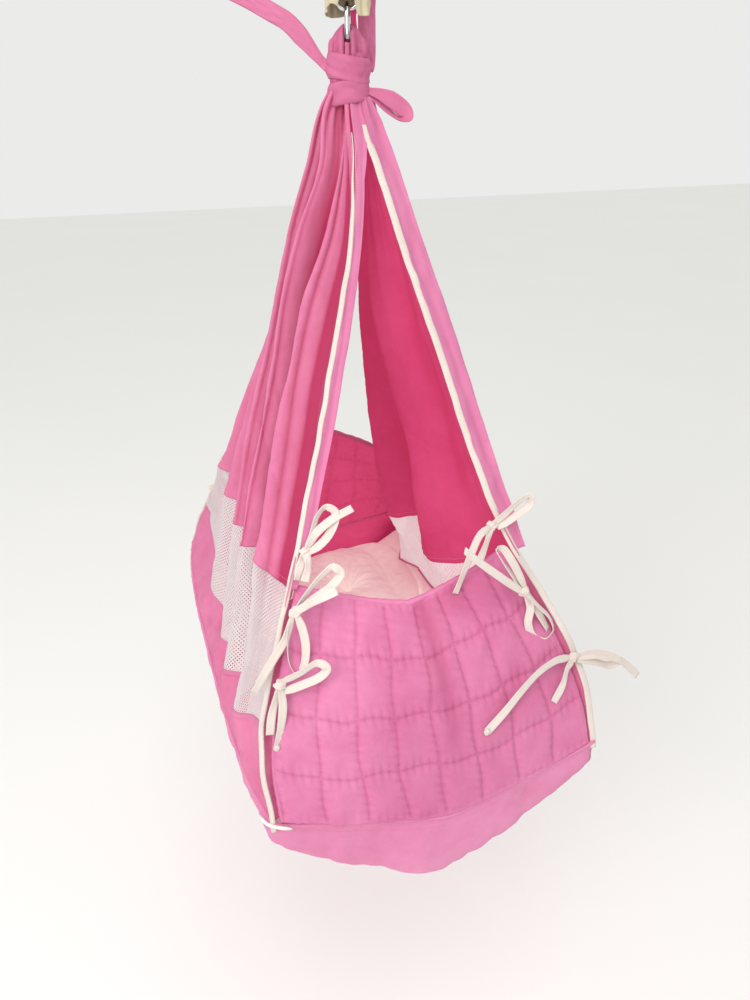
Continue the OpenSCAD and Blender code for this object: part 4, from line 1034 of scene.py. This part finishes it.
zt = low + (topz - low) * edge_roll
P3 = np.stack([px, py, zt], -1)
wr = 1.5 * rad * np.exp(-((r - 0.2) / 0.2) ** 2) - 0.7 * crease(P3, 90, 171) * np.clip(r * 3, 0, 1) + 1.8 * wav(P3, 48, 172) + 0.7 * wav(P3, 18, 173)
zt = zt + wr * np.clip((1 - r) / 0.08, 0, 1) * np.clip(r / 0.05, 0, 1)
zt[:, 0] = zt[:, -1] = (zt[:, 0] + zt[:, -1]) / 2
TOP = np.stack([px, py, zt], -1)
BOT = np.stack([px, py, np.minimum(low, zt - 0.5)], -1)
# join the faces at the rim: bottom rows run back from the edge to the middle
GP = np.concatenate([TOP, BOT[-2::-1]])
GP[:, -1] = GP[:, 0]
I = np.arange(len(GP) * m).reshape(len(GP), m)
q = np.stack([I[:-1, :-1], I[:-1, 1:], I[1:, 1:], I[1:, :-1]], -1).reshape(-1, 4)[:, ::-1]
V = GP.reshape(-1, 3)
o = add_mesh("bed_pillow", V, q, [PALE], V[:, :2] / 1000)
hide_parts("pillow")
seamP = TOP[-1, :-1].copy()
seamP[:, 2] += 1.0
o = sweep("pillow_seam", seamP, round_prof(2.2, 8), [PALE], A=(0, 0, 1), closed=True, scale=1 + 0.1 * wav(seamP, 12, 181))
c0 = np.array([38, 180, float(zt[0, 0])])
btn = []
a = np.linspace(0, 2 * math.pi, 25)[:-1]
o = sweep("pillow_tuft", np.array([c0 + (0, 0, -3), c0 + (0, 0, 0), c0 + (0, 0, 2.4), c0 + (0, 0, 3.6)]), round_prof(5, 16), [PALE], A=(1, 0, 0), scale=[0.8, 1, 0.85, 0.4])

# ------------------------------------------------------------------ tape ties
TIES = {
    "tie_foot_left_top": dict(k=(-114, -184, 244), loops=[[(-114, -184, 245), (-107, -186, 264), (-100, -188, 289), (-91, -190, 299), (-82, -192, 294), (-81, -190, 281), (-89, -189, 263), (-102, -188, 250), (-112, -186, 244)]], tails=[[(-113, -184, 246), (-102, -188, 268), (-83, -192, 285), (-63, -196, 296)], [(-114, -186, 246), (-114, -193, 233), (-120, -200, 217)], [(-116, -186, 245), (-123, -191, 230), (-128, -196, 218)]]),
    "tie_foot_left_mid": dict(k=(-137, -222, 195), loops=[[(-137, -222, 197), (-123, -225, 220), (-106, -228, 241), (-96, -231, 249), (-88, -231, 240), (-98, -229, 224), (-117, -226, 210), (-136, -224, 196)], [(-137, -224, 195), (-132, -231, 177), (-131, -238, 155), (-137, -245, 137), (-144, -245, 131), (-150, -239, 141), (-149, -232, 166), (-142, -226, 191)]], tails=[[(-138, -224, 197), (-122, -230, 208), (-94, -236, 222)], [(-140, -224, 194), (-154, -234, 168), (-167, -243, 157), (-181, -252, 144), (-194, -262, 132)]]),
    "tie_foot_left_low": dict(k=(-166, -260, 133), loops=[[(-165, -260, 137), (-144, -263, 146), (-125, -265, 156), (-116, -268, 149), (-123, -266, 138), (-145, -264, 130), (-164, -262, 125)]], tails=[[(-166, -262, 131), (-166, -269, 113), (-171, -275, 89), (-178, -282, 69)], [(-167, -262, 132), (-178, -271, 109), (-184, -280, 87)]]),
    "tie_foot_right_top": dict(k=(107, -192, 242), loops=[[(107, -192, 243), (121, -195, 256), (138, -197, 272), (149, -200, 278), (151, -198, 266), (133, -196, 251), (113, -194, 239)]], tails=[[(104, -194, 242), (88, -201, 238), (74, -207, 215), (54, -214, 173)], [(105, -194, 242), (97, -200, 225), (87, -206, 207)]]),
    "tie_foot_right_mid": dict(k=(130, -238, 175), loops=[[(130, -236, 176), (117, -235, 195), (101, -234, 219), (93, -233, 236), (100, -233, 236), (112, -235, 219), (124, -236, 196), (133, -238, 176)], [(131, -240, 174), (137, -244, 156), (134, -248, 135), (141, -252, 117), (154, -256, 112), (166, -252, 120), (161, -249, 138), (146, -246, 156), (134, -242, 170)]], tails=[[(129, -240, 175), (112, -240, 189), (92, -241, 207), (67, -242, 230), (50, -242, 247)], [(131, -240, 176), (146, -244, 150), (160, -250, 122)]]),
    "tie_foot_right_low": dict(k=(182, -276, 95), loops=[[(183, -276, 95), (206, -277, 97), (228, -279, 89), (244, -280, 77), (234, -279, 72), (210, -279, 83), (187, -278, 91)]], tails=[[(180, -276, 95), (154, -284, 103), (128, -292, 99), (105, -298, 84), (81, -305, 65), (56, -312, 48)], [(185, -276, 94), (215, -278, 91), (246, -280, 77), (262, -281, 62), (274, -282, 48)], [(181, -278, 92), (170, -285, 89), (162, -291, 70), (148, -298, 54)]]),
}


def tape_parts(path, w=9.4, t=0.9, roll=0.0, seed=0, free=True, face=(0.29, -0.84, 0.45)):
    P = curve(path, max(24, int(len(path) * 9)))
    n_ = len(P)
    T = np.gradient(P, axis=0)
    T /= np.linalg.norm(T, axis=1, keepdims=True) + 1e-9
    A = np.cross(np.broadcast_to(np.array(face, float), P.shape), T)
    g = np.random.default_rng(seed)
    s_ = np.linspace(0, 1, n_)
    rl = roll * np.sin(math.pi * np.clip(s_, 0, 1)) ** 0.6 + 14 * np.sin(s_ * g.uniform(4, 8) + g.uniform(0, 6))
    sc = np.ones((n_, 2))
    sc[:, 0] = np.clip(0.62 + s_ * 4, 0, 1) * (np.clip(0.62 + (1 - s_) * 4, 0, 1) if not free else 1.0)
    return sweep("x", P, flat_prof(w, t, 5, 0.5), None, A=A, roll=rl, scale=sc, build=False)


def lump(c, rx, ry, rz, seed, amp=0.18, n_=22, m_=30):
    """A knotted lump: a ball of folds."""
    c = np.asarray(c, float)
    ph = np.linspace(0.06, math.pi - 0.06, n_)[:, None]
    t2 = np.linspace(0, 2 * math.pi, m_ + 1)[None, :-1]
    d3 = np.stack([np.sin(ph) * np.cos(t2), np.sin(ph) * np.sin(t2), np.cos(ph) * np.ones_like(t2)], -1)
    g = np.random.default_rng(seed)
    ax = g.normal(size=3)
    ax /= np.linalg.norm(ax)
    f = 1 + amp * np.sin(7 * (d3 @ ax) + g.uniform(0, 6)) - amp * 0.8 * np.exp(-((d3 @ np.array([0.8, 0.1, 0.6])) / 0.16) ** 2) + amp * 0.5 * wav(d3 * 10, 9, seed)
    V = c + d3 * f[..., None] * np.array([rx, ry, rz])
    I = np.arange(n_ * m_).reshape(n_, m_)
    J = np.roll(I, -1, 1)
    F = np.stack([I[:-1], I[1:], J[1:], J[:-1]], -1).reshape(-1, 4)
    F = [tuple(f_) for f_ in F] + [tuple(I[0]), tuple(I[-1, ::-1])]
    uv_ = np.stack(np.broadcast_arrays(t2 * rx, ph * rz), -1).reshape(-1, 2) / 1000
    return V.reshape(-1, 3), F, uv_


def tie(name, k, loops, tails, seed, face=(0.29, -0.84, 0.45)):
    parts = [lump(k, 6.5, 5.0, 6.0, seed, 0.16)]
    for j, l in enumerate(loops):
        parts.append(tape_parts(l, roll=38 if j == 0 else 52, seed=seed + j + 1, free=False, face=face))
    for j, l in enumerate(tails):
        parts.append(tape_parts(l, roll=0, seed=seed + j + 11, face=face))
        if j == 0 and name.endswith("_low"):
            parts.append(lump(l[-1], 3.6, 3.0, 4.2, seed + 40, 0.12, 12, 16))
    o = joined(name + "_tape", parts, [CREAM])
    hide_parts(name)
    return o


for j, (name, d) in enumerate(TIES.items()):
    tie(name, d["k"], d["loops"], d["tails"], 200 + 20 * j)

for sd, side, hs in ((-1, "left", (128, 190, 245)), (1, "right", (88, 163, 235))):
    for q, (h, lev) in enumerate(zip(hs, ("low", "mid", "top"))):
        nm = f"tie_head_{side}_{lev}"
        e0 = edge(sd, 1, [h])[0] + np.array([0, 9.0, 0])
        out = np.array([sd * 0.75, 0.5, 0])
        g = np.random.default_rng(300 + q + 10 * sd)

        def pt(a, b, c, e0=e0, sd=sd):
            if sd < 0:
                return tuple(e0 + np.array([abs(a) * 0.75 + 4, c + 6, b - abs(a) * 0.5 - 6]))
            return tuple(e0 + np.array([sd * a, c, b]))

        lp = [[pt(0, 0, 0), pt(14, 12, 3), pt(30, 20, 5), pt(42, 12, 6), pt(30, 4, 5), pt(13, -1, 3), pt(1, -2, 1)],
              [pt(0, 0, 0), pt(-12, 12, 3), pt(-26, 18, 5), pt(-36, 8, 6), pt(-24, 0, 5), pt(-10, -2, 3), pt(-1, -2, 1)]]
        tl = [[pt(1, -2, 1), pt(10, -18, 6), pt(18, -38, 8), pt(22, -58, 7)],
              [pt(-1, -2, 1), pt(-5, -20, 7), pt(-12, -36, 9), pt(-14, -52, 8)]]
        tie(nm, e0, lp, tl, 320 + 12 * q + 40 * (sd > 0), face=(0.0, 1.0, 0.25))

# ------------------------------------------------------------------ wrapped neck, head loop, strap tails
n, m = 60, 200


def band_mesh(name, lo, hi, rr, seed, tilt_x, folds, node, amp=1.0):
    """A wide cloth band wound round the neck: soft folds running round it."""
    t2 = np.linspace(0, 2 * math.pi, m)[None, :]
    s_ = np.linspace(0, 1, n)[:, None]
    z0 = lo + (hi - lo) * s_
    x0 = np.cos(t2) * np.ones_like(s_)
    y0 = np.sin(t2) * np.ones_like(s_)
    P0 = np.stack([x0 * rr, y0 * rr, z0 * np.ones_like(t2)], -1)
    f = 0
    g = np.random.default_rng(seed)
    for k_, am in folds:
        f = f + am * np.sin(2 * math.pi * (k_ * s_ + 0.35 * np.sin(t2 + g.uniform(0, 6)) + 0.16 * np.sin(2 * t2 + g.uniform(0, 6))) + g.uniform(0, 6))
    body_ = np.sqrt(np.clip(1 - (2 * s_ - 1) ** 4, 0, 1))
    r_ = rr * (0.9 + 0.1 * body_) + amp * f * body_ - 1.1 * crease(P0 * np.array([0.45, 0.45, 1.2]), 30, seed + 5) * body_ + 0.25 * wav(P0, 11, seed + 6) * body_
    x_ = r_ * x0
    y_ = r_ * y0
    z_ = z0 + tilt_x * x0 * (0.5 + 0.5 * 1) + 0.8 * np.sin(2 * t2 + seed)
    OUT = np.stack([x_, y_, z_ * np.ones_like(x_)], -1)
    INN = np.stack([x0 * 18, y0 * 18, (z0 + tilt_x * x0)], -1)
    GG = hw(np.concatenate([OUT, INN[::-1], OUT[:1]]))
    GG[:, -1] = GG[:, 0]
    I = np.arange(GG.shape[0] * m).reshape(GG.shape[0], m)
    q_ = np.stack([I[:-1, :-1], I[:-1, 1:], I[1:, 1:], I[1:, :-1]], -1).reshape(-1, 4)
    uv_ = grid_uv(GG)[..., ::-1].reshape(-1, 2)
    o_ = add_mesh(name, GG.reshape(-1, 3), q_, [WRAPC], uv_)
    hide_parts(node)
    return o_


band_mesh("neck_wrap_lower", 681.2, 704.5, 22.6, 401, 3.2, [(1.1, 0.5), (2.1, 0.2)], "wrap_lower_band")
band_mesh("neck_wrap_upper", 703.2, 727.5, 23.6, 402, -2.6, [(1.2, 0.8), (2.3, 0.3)], "wrap_upper_band")

# arch of gathered cloth through which the snap link passes
parts = []
for j, (xb, yo, hh, rr) in enumerate(((-16.5, -2.0, 748, 4.6), (-9.5, -3.6, 756, 4.6), (-12.5, 3.2, 754, 4.8), (9.0, -3.6, 756, 4.6), (15.8, -2.0, 750, 4.6), (12.5, 3.4, 755, 4.8), (-17.0, 3.0, 743, 4.2), (17.2, 2.6, 744, 4.2), (-6.2, -15.2, 752, 3.9), (5.6, -15.4, 750, 3.9), (-0.4, -16.6, 739, 3.6))):
    A_ = [(xb * 0.92, yo, 722), (xb * 1.02, yo, 731), (xb * 0.95, yo * 1.1, 740), (xb * 0.62, yo * 0.9, hh - 6), (xb * 0.36, yo * (0.5 if abs(yo) < 9 else 0.98), hh)] if abs(yo) < 9 else [(xb, yo * 0.85, 722), (xb, yo, 731), (xb, yo, 738), (xb * 0.95, yo, hh - 4), (xb * 0.9, yo * 0.98, hh)]
    P = hw(curve(A_, 44))
    tp = np.linspace(0, 1, 44)
    sc_ = np.interp(tp, [0, 0.3, 0.75, 0.93, 1], [0.9, 1.05, 0.86, 0.6, 0.3])[:, None] * (1 + 0.07 * wav(P, 12, 410 + j))[:, None] * np.array([[1.25, 0.8]])
    a = np.arange(24) * 2 * math.pi / 24
    pr_ = np.stack([rr * np.cos(a) * (1 + 0.08 * np.sin(4 * a + j)), rr * np.sin(a) * (1 + 0.08 * np.cos(3 * a + j))], -1)
    parts.append(sweep("x", P, pr_, None, A=hw(np.array([0.0, 1.0, 0.0])), scale=sc_, build=False))
# the gathered cloth between the folds, one hood each side of the link
for sx in (-1, 1):
    zz = np.linspace(721, 756.5, 44)
    P = hw(np.stack([sx * np.interp(zz, [721, 734, 742, 748, 753, 756.5], [9.0, 9.6, 9.9, 7.6, 5.4, 4.0]), np.full(44, -0.4), zz], -1))
    P = np.stack([np.convolve(np.pad(P[:, i_], 3, "edge"), np.ones(7) / 7, "valid") for i_ in range(3)], -1)
    a = np.arange(96) * 2 * math.pi / 96
    pl_ = 1 + 0.13 * np.abs(np.sin(5.5 * a + 0.7 + sx)) ** 0.8 + 0.05 * np.sin(3 * a + sx)
    pr_ = np.stack([pl_ * np.cos(a), pl_ * np.sin(a)], -1) * 6.2
    sy_ = np.interp(zz, [721, 734, 742, 748, 753, 756.5], [1.25, 1.3, 1.05, 0.72, 0.4, 0.12])
    sx_ = np.interp(zz, [721, 734, 742, 748, 753, 756.5], [1.3, 1.36, 1.12, 0.76, 0.44, 0.16])
    parts.append(sweep("x", P, pr_, None, A=hw(np.array([0.0, 1.0, 0.0])), scale=np.stack([sx_, sy_], -1), build=False))
P = hw(curve([(-9, 0, 734), (-8, 0, 744), (0, 0, 750.5), (8, 0, 744), (9, 0, 734)], 50))
parts.append(sweep("x", P, round_prof(6.4, 20, 4.4), None, A=hw(np.array([0.0, 1.0, 0.0])), scale=1 + 0.08 * wav(P, 10, 415), build=False))
# bundle inside the wrap, seen from above between the bands and the arch
P = hw(np.array([(0, 0, z_) for z_ in (683, 700, 715, 724, 729, 731.5)], float))
a = np.arange(60) * 2 * math.pi / 60
pr_ = np.stack([np.cos(a) * (1 + 0.05 * np.sin(11 * a)), np.sin(a) * (1 + 0.05 * np.sin(13 * a + 1))], -1) * 19.3
parts.append(sweep("x", P, pr_, None, A=(1, 0, 0), scale=[1, 1, 1, 0.98, 0.9, 0.62], build=False))
o = joined("gathered_head_loop", parts, [WRAPC])
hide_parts("head_loop")
# painted shade: a narrow fold strip in the shaded inside pink along the loop's fold
shaded_fold_path = hw(curve([(8.5, 4.6, 742), (7.0, 5.6, 752), (6.0, 6.6, 762), (6.5, 8.0, 772)], 24))
o = sweep("head_loop_fold", shaded_fold_path, flat_prof(6, 1.6, 5, 0.5), [PINK_SHADED_INSIDE], A=hw(np.array([1.0, 0, 0.3])))

# bow loop of the wrap's end
bl = curve([(17, -12, 694), (32, -14, 690), (47, -16, 683), (58, -17, 674), (59, -18, 667), (52, -19, 666), (40, -17, 673), (27, -14, 684), (18, -13, 690)], 90)
T = np.gradient(bl, axis=0)
A_ = np.cross(np.broadcast_to(np.array([0.29, -0.84, 0.45]), bl.shape), T)
o = sweep("wrap_bow_tape", bl, flat_prof(17, 1.5, 9, 1.6), [PINK], A=A_, roll=34 * np.sin(np.linspace(0, math.pi, 90)) ** 2 + 12, scale=np.stack([np.interp(np.linspace(0, 1, 90), [0, 0.25, 0.75, 1], [0.4, 1, 1, 0.4]), np.ones(90)], -1))
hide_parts("wrap_bow_loop")

# the two wrap ends: flat pink net tapes
for side, rt_ in (("left", [(-22, -3, 716), (-25, 0, 719), (-33, 0, 727), (-47, 0, 743), (-62, 0, 758), (-80, 1, 768), (-101, 2, 779), (-121, 3, 788), (-132, 4, 792)]),
                  ("right", [(18, 15, 716), (19, 19, 719), (20, 25, 732), (20, 31, 746), (20, 35, 760), (20, 38, 774), (21, 40, 786)])):
    P = curve(np.array(rt_, float), 90)
    P = hw(P)
    wpos = np.linspace(0, 1, 90)
    pr_ = flat_prof(19.0, 2.4, 13, 0.8)
    prs = np.broadcast_to(pr_, (90,) + pr_.shape).copy()
    prs[..., 1] += 0.45 * np.sin(prs[..., 0] * 1.7 + wpos[:, None] * 9) + 0.3 * np.sin(prs[..., 0] * 0.9 + wpos[:, None] * 31)
    prs = prs * np.interp(wpos, [0, 0.1, 0.3, 1], [0.5, 0.55, 0.95, 1])[:, None, None] if side == "left" else prs
    o = sweep(side + "_strap_tape", P, prs, [PINK], A=np.cross(hw(np.array([0, 1.0, 0])), np.gradient(P, axis=0)))
    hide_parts(side + "_strap_tail")
    v_, f_, uv_ = lump(P[-1] + (P[-1] - P[-6]) * 0.4, 9, 7, 8, 430, 0.14, 26, 34)
    kn = joined(side + "_strap_knot", [(v_, f_, uv_)], [PINK])

# ------------------------------------------------------------------ spring and sleeve (mm below the eye: z given directly)
def zc(z):
    return z + 1010.0


tc = np.linspace(0, 1, int(30 * 28))
aa = tc * 30 * 2 * math.pi
hi_, lo_ = -84.6, -199.9
P = np.stack([16 * np.cos(aa), 16 * np.sin(aa), zc(hi_ + (lo_ - hi_) * tc)], -1)
V, F, uv_ = sweep("x", P, round_prof(1.75, 10), None, A=(0, 0, 1), build=False)
o = add_mesh("coil_spring", V, F, [ZINC], uv_, None, None)
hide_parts("spring_coil")
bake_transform(o)

n, m = int(150 * RES) + 30, int(200 * RES)
s_ = np.linspace(0, 1, n)[:, None]
t2 = np.linspace(0, 2 * math.pi, m)[None, :]
zz = -62 + (-245 + 62) * s_ + (2.5 * np.sin(2 * t2 + 0.6) + 3.0 * np.exp(-((t2 - 3.6) / 0.5) ** 2) * 2.0 + 30 * np.exp(-(np.abs(t2 - 4.44) / 0.36) ** 4)) * s_**3
rb_ = np.interp(s_[:, 0], [0, 0.05, 0.16, 0.6, 1.0], [14.5, 14.5, 21, 22.6, 22.4])[:, None]
fl_ = 0.9 * np.sin(9 * t2 + 2.0 * s_ + 0.5 * np.sin(3 * t2)) + 0.5 * np.sin(17 * t2 - 3 * s_)
P0 = np.stack([np.cos(t2) * 22 * np.ones_like(s_), np.sin(t2) * 22 * np.ones_like(s_), zz * np.ones_like(t2)], -1)
rr_ = rb_ + fl_ * (0.6 + 0.6 * s_) - 1.0 * crease(P0 * np.array([1, 1, 0.5]), 26, 451) + 0.7 * wav(P0, 15, 452)
rr_ = np.maximum(rr_, np.where(zz < -80, 19.4, 13.6))
rr_[:, -1] = rr_[:, 0]
G = np.stack([rr_ * np.cos(t2), rr_ * np.sin(t2), zc(zz) * np.ones_like(rr_)], -1)
G[:, -1] = G[:, 0]
fl = float((normals(G)[..., :2] * G[..., :2]).sum(-1).mean()) < 0
o = sheet_mesh("spring_sleeve_cloth", G, 1.2, [BEIGE, BEIGE], body=None, flip=fl)
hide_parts("spring_sleeve")
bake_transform(o)
tc = np.linspace(0, 2.15 * 2 * math.pi, 150)
P = np.stack([(16.2 + 0.3 * np.sin(tc * 3)) * np.cos(tc), (16.2 + 0.3 * np.sin(tc * 3)) * np.sin(tc), zc(-68 + 6.5 * tc / tc[-1])], -1)
o = sweep("sleeve_tie", P, round_prof(1.7, 10), [BEIGE], A=(0, 0, 1), body="swivel_base")
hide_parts("sleeve_band")

# ------------------------------------------------------------------ hardware from the CAD frame
METALS = {"swivel_eye": ZINC, "swivel_nut": ZINC, "swivel_washer": BRASS, "swivel_housing": ZINC, "swivel_lower_eye": ZINC, "spring_upper_hook": ZINC, "spring_lower_hook": ZINC, "link_ring": CHROME, "snap_link_gate": CHROME, "gate_spring": ZINC, "snap_link_body": CHROME, "gate_pin": ZINC}
for nm, mt in METALS.items():
    me = NODES[nm].data
    me.materials.clear()
    me.materials.append(mt)
    me.polygons.foreach_set("use_smooth", [True] * len(me.polygons))
    me.set_sharp_from_angle(angle=math.radians(38))

# ------------------------------------------------------------------ stage and light
me = bpy.data.meshes.new("floor")
me.from_pydata([(-9, -9, -1.6), (9, -9, -1.6), (9, 9, -1.6), (-9, 9, -1.6)], [], [(0, 1, 2, 3)])
me.materials.append(floor_mat())
fl_o = bpy.data.objects.new("floor", me)
bpy.context.scene.collection.objects.link(fl_o)

w = bpy.data.worlds.new("studio")
bpy.context.scene.world = w
w.use_nodes = True
bg = w.node_tree.nodes.get("Background") or w.node_tree.nodes.new("ShaderNodeBackground")
bg.inputs[0].default_value = (0.83, 0.83, 0.825, 1)
bg.inputs[1].default_value = 1.0


def area(name, loc, target, size, power, colour=(1, 1, 1)):
    l = bpy.data.lights.new(name, "AREA")
    l.size = size
    l.energy = power
    l.color = colour
    ob = bpy.data.objects.new(name, l)
    bpy.context.scene.collection.objects.link(ob)
    ob.location = loc
    ob.rotation_mode = "QUATERNION"
    ob.rotation_quaternion = (Vector(target) - Vector(loc)).to_track_quat("-Z", "Y")
    return ob


area("softbox_key", (-1.75, -1.65, 0.55), (0, 0, -0.75), 1.3, 34, (1.0, 0.985, 0.965))
area("softbox_top", (-0.3, -1.2, 1.3), (0, 0, -0.8), 1.2, 12)
sl = bpy.data.lights.new("opening_spot", "SPOT")
sl.energy = 12
sl.spot_size = math.radians(25)
sl.spot_blend = 1.0
sl.shadow_soft_size = 0.12
so = bpy.data.objects.new("opening_spot", sl)
bpy.context.scene.collection.objects.link(so)
so.location = (-0.25, -1.02, -0.12)
so.rotation_mode = "QUATERNION"
so.rotation_quaternion = (Vector((0.045, 0.16, -0.985)) - so.location).to_track_quat("-Z", "Y")
sc = bpy.context.scene
sc.view_settings.view_transform = "Standard"
sc.view_settings.look = "None"
sc.view_settings.exposure = 0.0
